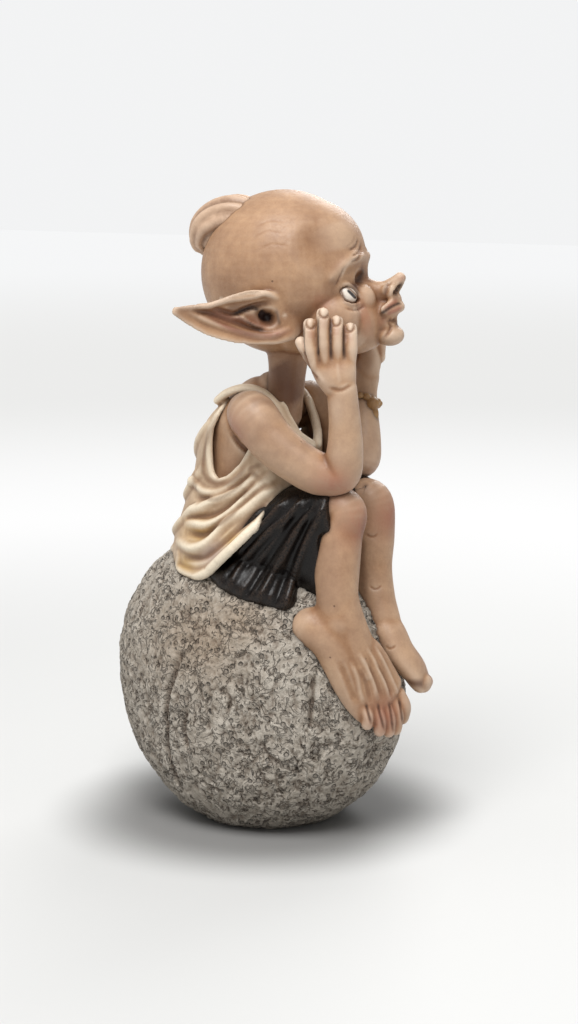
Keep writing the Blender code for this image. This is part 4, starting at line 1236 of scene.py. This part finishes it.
def out_of_stone(point):
    """Rough distance outside the plain stone."""
    lean = np.array(Matrix.Rotation(STONE_LEAN, 3, "Y"))
    low = max(0.0, (STONE_CENTRE[2] - point[2]) / STONE_CENTRE[2])
    plain = point / (1, 1 + BASE_SPREAD * low ** 2, 1) - np.array(STONE_CENTRE)
    half = np.array(STONE_SIZE) / 2
    return (np.linalg.norm((plain @ lean) / half) - 1) * half.mean()


def make_skirt():
    """The dark skirt over the lap, which hangs on to the stone."""
    parts = [limb(SKIRT, (0, 1, 0), seg=64, square=0.82, round_ends=False)]
    parts += draped(DRAPE, DRAPE_HALF, DRAPE_SINK)
    parts += [limb(rows, (0, 1, 0), seg=48, round_ends=False) for rows in (NEAR_LAP, FAR_LAP)]
    piece = joined("skirt", parts)
    skin(piece, COARSE, 22)
    for mirror in (None, over_body):
        stroked(piece, SKIRT_STROKES, mirror)
    eased(piece, 2)
    return piece


def make_bracelet():
    """A plaited band with its knot and loop."""
    parts = []
    for k in range(BRACELET_BEADS):
        turn = 2 * math.pi * k / BRACELET_BEADS
        spot = np.array(BRACELET) + (4.3 * math.cos(turn), 4.2 * math.sin(turn), -2 * math.sin(turn))
        parts.append(ball(spot, (1.15, 1.15, 1.0), turn, 24))
    parts.append(ball(np.array(BRACELET) + (4.4, -2.6, -0.4), (1.9, 1.7, 1.8), 0, 32))
    parts.append(ball(np.array(BRACELET) + (4.8, -2.4, -3.4), (1.2, 1.1, 2.2), 0, 32))
    piece = joined("bracelet", parts)
    skin(piece, BAND, 2)
    return piece


def linear(red, green, blue):
    """A colour read as 0 to 255, as the shader takes it."""
    shares = [c / 255 for c in (red, green, blue)]
    return tuple(s / 12.92 if s * 255 <= 10 else ((s + 0.055) / 1.055) ** 2.4 for s in shares) + (1.0,)


def new_group(name, inputs, outputs):
    """An empty node group with named sockets."""
    tree = bpy.data.node_groups.new(name, "ShaderNodeTree")
    for label, kind, value in inputs:
        socket = tree.interface.new_socket(label, in_out="INPUT", socket_type=kind)
        socket.default_value = value
    for label, kind in outputs:
        tree.interface.new_socket(label, in_out="OUTPUT", socket_type=kind)
    return tree, tree.nodes.new("NodeGroupInput"), tree.nodes.new("NodeGroupOutput")


def node(tree, kind, links=(), **settings):
    """A node with its settings and its linked or set inputs."""
    item = tree.nodes.new(kind)
    for key, value in settings.items():
        setattr(item, key, value)
    for socket, value in dict(links).items():
        slot = item.inputs[socket]
        if isinstance(value, bpy.types.NodeSocket):
            tree.links.new(value, slot)
        else:
            slot.default_value = value
    return item


def ramp(tree, value, low, high, smooth=True):
    """The value spread from 0 to 1 between two limits."""
    kind = "SMOOTHSTEP" if smooth else "LINEAR"
    item = node(tree, "ShaderNodeMapRange", {0: value, 1: low, 2: high}, interpolation_type=kind)
    return item.outputs[0]


def math_node(tree, kind, a, b=0.0):
    """Two values put together."""
    return node(tree, "ShaderNodeMath", {0: a, 1: b}, operation=kind).outputs[0]


def mix(tree, factor, a, b, kind="MIX"):
    """Two colours mixed by a value."""
    item = tree.nodes.new("ShaderNodeMix")
    item.data_type = "RGBA"
    item.blend_type = kind
    item.clamp_factor = True
    for key, value in ((0, factor), (6, a), (7, b)):
        if isinstance(value, bpy.types.NodeSocket):
            tree.links.new(value, item.inputs[key])
        else:
            item.inputs[key].default_value = value
    return item.outputs[2]


def clouds(tree, place, scale, detail, roughness=0.5, distortion=0.0):
    """Soft noise of a size."""
    item = node(tree, "ShaderNodeTexNoise", {
        "Vector": place, "Scale": scale, "Detail": detail, "Roughness": roughness, "Distortion": distortion})
    return item.outputs[0]


def cells(tree, place, scale):
    """Scattered cells of a size: the distance from each middle, and a chance value for each."""
    item = node(tree, "ShaderNodeTexVoronoi", {"Vector": place, "Scale": scale, "Randomness": 1.0})
    few = node(tree, "ShaderNodeSeparateColor", {0: item.outputs["Color"]}).outputs[0]
    return item.outputs["Distance"], few


def weighted(tree, a, share_a, b, share_b):
    """The sum of two values, each taken at its share."""
    a, b = math_node(tree, "MULTIPLY", a, share_a), math_node(tree, "MULTIPLY", b, share_b)
    return math_node(tree, "ADD", a, b)


def casting_group():
    """Blotches and grain that brushed paint on cast resin shows."""
    results = ("Blotch", "Speckle", "Pinhole", "Height")
    outputs = [(name, "NodeSocketFloat") for name in results]
    tree, entry, end = new_group("brushed_casting", (("Scale", "NodeSocketFloat", 1.0),), outputs)
    place = node(tree, "ShaderNodeTexCoord").outputs["Object"]
    scaled = {0: place, 3: entry.outputs["Scale"]}
    point = node(tree, "ShaderNodeVectorMath", scaled, operation="SCALE").outputs[0]
    broad = clouds(tree, point, 120.0, 4.0, 0.6)
    middle = clouds(tree, point, 420.0, 5.0, 0.65)
    fine = clouds(tree, point, 1900.0, 3.0, 0.6)
    distance, few = cells(tree, point, 260.0)
    hole = math_node(tree, "MULTIPLY", ramp(tree, distance, 0.1, 0.045), ramp(tree, few, 0.86, 0.9))
    height = weighted(tree, middle, 0.6, fine, 0.4)
    height = math_node(tree, "SUBTRACT", height, math_node(tree, "MULTIPLY", hole, 1.4))
    blotch = weighted(tree, ramp(tree, broad, 0.32, 0.68), 0.6, ramp(tree, middle, 0.3, 0.7), 0.4)
    for name, value in zip(results, (blotch, ramp(tree, fine, 0.35, 0.7), hole, height)):
        tree.links.new(value, end.inputs[name])
    return tree


def casting(tree, group, scale=1.0):
    """The casting's blotches, speckles, pinholes and height in a material."""
    item = node(tree, "ShaderNodeGroup", {}, node_tree=group)
    item.inputs["Scale"].default_value = scale
    return [item.outputs[name] for name in ("Blotch", "Speckle", "Pinhole", "Height")]


def coats(tree, colour, layers):
    """Paint laid on in turn: where, how much of it and its colour."""
    for value, share, paint in layers:
        if share < 1:
            value = math_node(tree, "MULTIPLY", value, share)
        colour = mix(tree, value, colour, linear(*paint))
    return colour


def uneven(tree, value, low, high):
    """A roughness or a strength that follows a value."""
    return node(tree, "ShaderNodeMapRange", {0: value, 3: low, 4: high}).outputs[0]


def new_material(name, roughness, coat=0.0):
    """An empty material with its shader."""
    material = bpy.data.materials.new(name)
    material.use_nodes = True
    tree = material.node_tree
    shader = tree.nodes["Principled BSDF"]
    shader.inputs["Roughness"].default_value = roughness
    shader.inputs["Coat Weight"].default_value = coat
    shader.inputs["Coat Roughness"].default_value = 0.3
    return material, tree, shader


def value_of(tree, name):
    """A stored value of the piece."""
    return node(tree, "ShaderNodeAttribute", attribute_name=name).outputs["Fac"]


def finished(tree, shader, colour, height, strength, distance, rough=None):
    """Joins colour and bump to the shader."""
    tree.links.new(colour, shader.inputs["Base Color"])
    bump = node(tree, "ShaderNodeBump", {"Strength": strength, "Distance": distance, "Height": height})
    tree.links.new(bump.outputs[0], shader.inputs["Normal"])
    if rough is not None:
        tree.links.new(rough, shader.inputs["Roughness"])


def skin_paint(group):
    """Tan skin, brown in its hollows from paint and painted shade, with painted highlights on its ridges,
    painted shade in its gaps, and a flush on its joints.
    """
    material, tree, shader = new_material("tan_skin", 0.5, 0.06)
    shader.inputs["Specular IOR Level"].default_value = 0.38
    blotch, speckle, hole, height = casting(tree, group)
    flush = math_node(tree, "MULTIPLY", value_of(tree, "flush"), ramp(tree, blotch, -0.5, 0.8))
    colour = coats(tree, mix(tree, blotch, linear(146, 108, 78), linear(178, 140, 106)), (
        (speckle, 0.16, (140, 98, 70)),
        # Paler ridges: dry brushing and painted highlight
        (value_of(tree, "pale"), 0.75, (232, 212, 190)),
        (flush, 0.75, (146, 84, 64)),
        # Darker hollows and creases: brown paint and painted shade
        (value_of(tree, "wash_and_shade"), 0.85, (88, 50, 30)),
        # Painted shade in slits and gaps and where parts meet
        (value_of(tree, "dark"), 1, (30, 12, 8)),
        (hole, 0.7, (70, 44, 30)),
    ))
    finished(tree, shader, colour, height, 0.35, 0.0003, uneven(tree, speckle, 0.42, 0.58))
    return material


def tunic_paint(group):
    """Cream cloth with ochre and lavender pools, tan-brown folds and armhole from paint and painted shade,
    painted highlights on its ridges and painted shade where it meets other pieces.
    """
    material, tree, shader = new_material("cream_tunic", 0.55, 0.08)
    blotch, speckle, hole, height = casting(tree, group)
    colour = coats(tree, mix(tree, blotch, linear(172, 142, 112), linear(205, 180, 150)), (
        (value_of(tree, "ochre"), 1, (188, 150, 84)),
        (value_of(tree, "lavender"), 1, (170, 152, 150)),
        # Paler ridges: dry brushing and painted highlight
        (value_of(tree, "pale"), 1, (236, 222, 198)),
        # Darker fold valleys and armhole: brown paint, painted shade and painted shadow
        (value_of(tree, "wash_and_shade"), 0.8, (112, 76, 48)),
        # Painted shade where it meets other pieces
        (value_of(tree, "dark"), 1, (52, 32, 20)),
        (speckle, 0.12, (150, 116, 84)),
        (hole, 0.7, (80, 56, 40)),
    ))
    finished(tree, shader, colour, height, 0.45, 0.0004, uneven(tree, blotch, 0.48, 0.62))
    return material


def skirt_paint(group):
    """Near-black cloth with a gloss, and brown on its ridges from dry brushing and painted highlight."""
    material, tree, shader = new_material("black_skirt", 0.35, 0.12)
    shader.inputs["Specular IOR Level"].default_value = 0.22
    blotch, speckle, _, height = casting(tree, group)
    # Brown on the ridges: dry brushing and painted highlight
    brush = math_node(tree, "MULTIPLY", value_of(tree, "pale"), speckle)
    colour = mix(tree, blotch, linear(9, 7, 6), linear(20, 15, 13))
    colour = coats(tree, colour, ((brush, 0.8, (66, 50, 39)),))
    finished(tree, shader, colour, height, 0.5, 0.0005, uneven(tree, speckle, 0.26, 0.44))
    return material


def stone_paint(group):
    """Grey-beige stone, dark brown in its pits and hollows from paint and painted shade, with painted
    highlights on pit rims and ridges and painted shade where the figure meets it.
    """
    material, tree, shader = new_material("grey_stone", 0.75)
    blotch, speckle, _, grain = casting(tree, group, 0.8)
    place = node(tree, "ShaderNodeTexCoord").outputs["Object"]
    worm = clouds(tree, place, 300.0, 2.0, 0.55, 1.3)
    off = math_node(tree, "ABSOLUTE", math_node(tree, "SUBTRACT", worm, 0.5))
    patch = ramp(tree, clouds(tree, place, 210.0, 2.0), 0.4, 0.5)
    # Worm-like grooves and round dents, sunk in the bump and darkened as brown paint and painted shade
    groove = math_node(tree, "MULTIPLY", ramp(tree, off, 0.034, 0.01), patch)
    distance, few = cells(tree, place, 430.0)
    dent = math_node(tree, "MULTIPLY", ramp(tree, distance, 0.36, 0.18), ramp(tree, few, 0.52, 0.58))
    groove = math_node(tree, "MAXIMUM", groove, dent)
    # Pit rims: dry brushing and painted highlight
    rim_brush_and_highlight = math_node(tree, "MULTIPLY", ramp(tree, off, 0.05, 0.075), ramp(tree, off, 0.13, 0.08))
    colour = coats(tree, mix(tree, blotch, linear(132, 121, 107), linear(176, 167, 154)), (
        # Paler pit rims and ridges: dry brushing and painted highlight
        (rim_brush_and_highlight, 0.35, (196, 188, 176)),
        (value_of(tree, "pale"), 0.8, (196, 188, 176)),
        (value_of(tree, "brown"), 0.6, (140, 116, 90)),
        # Darker hollows, grooves, pits and cracks: brown paint and painted shade; painted shade where the
        # figure meets it
        (value_of(tree, "wash_and_shade"), 0.7, (84, 64, 48)),
        (groove, 0.42, (58, 42, 32)),
        (value_of(tree, "pit"), 0.3, (74, 56, 43)),
        (value_of(tree, "dark"), 1, (44, 34, 28)),
        (speckle, 0.14, (188, 180, 168)),
    ))
    lumps = clouds(tree, place, 240.0, 3.0, 0.55)
    height = math_node(tree, "ADD", math_node(tree, "MULTIPLY", grain, 0.35), lumps)
    finished(tree, shader, colour, math_node(tree, "SUBTRACT", height, groove), 1.0, 0.002)
    return material


def hair_paint(group):
    """Brown hair with paler strands, partly painted highlight, and dark brown between them from paint and
    painted shade.
    """
    material, tree, shader = new_material("brown_hair", 0.5, 0.1)
    blotch, _, _, height = casting(tree, group)
    colour = coats(tree, mix(tree, blotch, linear(150, 117, 92), linear(200, 168, 141)), (
        # Paler strands: dry brushing and painted highlight
        (value_of(tree, "pale"), 0.7, (220, 192, 166)),
        # Darker between the strands: brown paint and painted shade
        (value_of(tree, "wash_and_shade"), 1, (62, 38, 26)),
    ))
    finished(tree, shader, colour, height, 0.4, 0.0004)
    return material


def eye_paint(group):
    """White eye with its dark slit."""
    material, tree, shader = new_material("painted_eye", 0.35, 0.3)
    blotch, _, _, height = casting(tree, group)
    colour = mix(tree, blotch, linear(206, 192, 176), linear(232, 224, 212))
    colour = mix(tree, value_of(tree, "white"), linear(120, 88, 66), colour)
    colour = mix(tree, value_of(tree, "slit"), colour, linear(48, 44, 44))
    finished(tree, shader, colour, height, 0.1, 0.0002)
    return material


def bracelet_paint(group):
    """Gold-brown plait, darker in its hollows from paint and painted shade."""
    material, tree, shader = new_material("brown_bracelet", 0.5, 0.1)
    blotch, _, _, height = casting(tree, group)
    colour = mix(tree, blotch, linear(120, 84, 48), linear(170, 132, 84))
    # Darker in its hollows: brown paint and painted shade
    colour = mix(tree, value_of(tree, "wash_and_shade"), colour, linear(60, 38, 24))
    finished(tree, shader, colour, height, 0.4, 0.0004)
    return material


def brushwork(name, piece):
    """What is brushed on a piece along listed lines, besides what its relief gives: paint, painted shade and
    painted highlights.
    """
    both = (None, over_head)
    co, _ = reading(piece.data)
    if name == "head":
        tables = {"wash_and_shade": HEAD_WASH_AND_SHADE, "dark": HEAD_DARK, "pale": HEAD_PALE, "flush": HEAD_FLUSH}
        return {key: brushed(piece, table, both) for key, table in tables.items()}
    if name == "arms":
        nails = [(0.75, 0.42, points) for _, _, points in nail_rings(NAILS)]
        tips = [(0.5, 1.6, ((across, down + 7), (across, down + 16))) for across, down, _, _ in NAILS]
        return {
            "wash_and_shade": np.maximum(brushed(piece, HAND_WASH_AND_SHADE), brushed(piece, nails, both)),
            "dark": brushed(piece, FINGER_GAPS, both),
            "flush": np.maximum(spots_of(co, FLUSH), brushed(piece, tips, both)),
        }
    if name == "legs":
        return {
            "wash_and_shade": brushed(piece, FOOT_WASH_AND_SHADE), "dark": brushed(piece, TOE_GAPS), "flush": spots_of(co, FLUSH),
        }
    if name == "tunic":
        return {
            "wash_and_shade": brushed(piece, TUNIC_WASH_AND_SHADE, (None, over_body)),
            "ochre": 0.8 * pools(co, OCHRE_POOLS),
            "lavender": 0.6 * pools(co, LAVENDER_POOLS),
        }
    return {"brown": pools(co, BROWN_POOLS)} if name == "stone" else {}


def brushed_values(name, pieces):
    """Brown paint and painted shade in the hollows, pale edges that are partly painted highlight, painted
    shade where it meets other pieces, and its brushwork.
    """
    piece = pieces[name]
    low, high = relief(piece, 14, 0.5 if name == "stone" else 0.22)
    wide_low, wide_high = relief(piece, 60, 0.9)
    near = closeness(piece, [pieces[other] for other in TOUCHES[name]], 1.6)
    values = {
        # Darker in hollows: brown paint and painted shade
        "wash_and_shade": np.clip(0.7 * low + 0.5 * wide_low, 0, 1),
        # Paler on ridges and edges: dry brushing and painted highlight
        "pale": np.clip(0.45 * high + 0.5 * wide_high, 0, 1),
        # Painted shade where it touches the other pieces
        "dark": np.clip(near - 0.3, 0, 1) ** 2 * 1.3,
    }
    if name in ("head", "arms", "legs"):
        values["wash_and_shade"] *= 0.8
    if name == "head":
        values["pale"] *= 0.7
    for key, marks in brushwork(name, piece).items():
        values[key] = np.maximum(values.get(key, 0), marks)
    return values


def dress(pieces):
    """Darker hollows of brown paint and painted shade, painted edge light and flush of every piece, then its
    paint.
    """
    for name in TOUCHES:
        for key, value in brushed_values(name, pieces).items():
            keep(pieces[name], key, value)
    group = casting_group()
    paints = {
        "stone": stone_paint, "tunic": tunic_paint, "skirt": skirt_paint,
        "topknot": hair_paint, "eyes": eye_paint, "bracelet": bracelet_paint,
    }
    paints = {name: paint(group) for name, paint in paints.items()}
    tan = skin_paint(group)
    for name, piece in pieces.items():
        piece.data.materials.clear()
        piece.data.materials.append(paints.get(name, tan))


def pools(co, places):
    """Blots of paint at pixels, on both sides."""
    value = np.zeros(len(co))
    for side in (1, -1):
        spots = pixels(co * (1, side, 1))
        for across, down, reach in places:
            gap = np.linalg.norm(spots - np.array((across, down)), axis=1)
            facing = (co[:, 1] * side) < 4
            value = np.maximum(value, np.where(facing, np.exp(-(gap / reach) ** 2), 0))
    return value


def settle(pieces):
    """Turns the pieces to metres and fixes them to the frame."""
    for piece in pieces.values():
        piece.data.transform(Matrix.Scale(MILLIMETRE, 4))
        only(piece)
        bpy.ops.object.shade_smooth()
        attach(piece, "root")
        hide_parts("pixie_figurine")


def make_stage():
    """A pale flat floor that glows further off, with a painted contact shadow round the stone, and soft
    lamps.
    """
    clear_selection()
    bpy.ops.mesh.primitive_plane_add(size=6, location=(0, 0, 0))
    floor = bpy.context.active_object
    floor.name = "floor"
    material, tree, shader = new_material("pale_floor", 0.6)
    place = node(tree, "ShaderNodeTexCoord").outputs["Object"]
    cloud = clouds(tree, place, 3.0, 2.0)
    away = node(tree, "ShaderNodeVectorMath", {0: place}, operation="LENGTH").outputs["Value"]
    near = ramp(tree, away, 0.5, 0.18)
    paint = mix(tree, cloud, (0.63, 0.63, 0.62, 1), (0.65, 0.65, 0.64, 1))
    # A painted contact shadow round the stone's foot
    painted_contact_shadow = math_node(tree, "MULTIPLY", ramp(tree, away, 0.066, 0.034), 0.7)
    paint = mix(tree, painted_contact_shadow, paint, (0.08, 0.075, 0.07, 1))
    glow = mix(tree, ramp(tree, away, 0.45, 1.0), (0.93, 0.93, 0.93, 1), (0.79, 0.79, 0.78, 1))
    glow = mix(tree, ramp(tree, away, 1.2, 2.6), glow, (0.865, 0.87, 0.875, 1))
    tree.links.new(mix(tree, near, (0.03, 0.03, 0.03, 1), paint), shader.inputs["Base Color"])
    tree.links.new(mix(tree, near, glow, (0, 0, 0, 1)), shader.inputs["Emission Color"])
    shader.inputs["Emission Strength"].default_value = 1.0
    shader.inputs["Specular IOR Level"].default_value = 0.1
    floor.data.materials.append(material)
    world = bpy.data.worlds.new("studio")
    world.use_nodes = True
    tree = world.node_tree
    tree.nodes["Background"].inputs[0].default_value = (0.95, 0.955, 0.96, 1)
    direct = node(tree, "ShaderNodeLightPath").outputs["Is Camera Ray"]
    tree.links.new(uneven(tree, direct, 0.5, 0.94), tree.nodes["Background"].inputs[1])
    bpy.context.scene.world = world
    bpy.context.scene.view_settings.view_transform = "Standard"
    for settings in LAMPS:
        lamp(*settings)


def lamp(name, place, size, power):
    """A square soft lamp turned to the figure."""
    data = bpy.data.lights.new(name, "AREA")
    data.size = size
    data.energy = power
    item = bpy.data.objects.new(name, data)
    item.location = place
    item.rotation_mode = "QUATERNION"
    item.rotation_quaternion = (Vector((0.005, 0, 0.09)) - Vector(place)).to_track_quat("-Z", "Y")
    bpy.context.collection.objects.link(item)


place_camera()
pieces = {
    "stone": make_stone(), "head": make_head(), "eyes": make_eyes(), "topknot": make_topknot(),
    "arms": make_arms(), "legs": make_legs(), "tunic": make_tunic(), "skirt": make_skirt(),
    "bracelet": make_bracelet(),
}
dress(pieces)
settle(pieces)
make_stage()
bpy.context.view_layer.update()
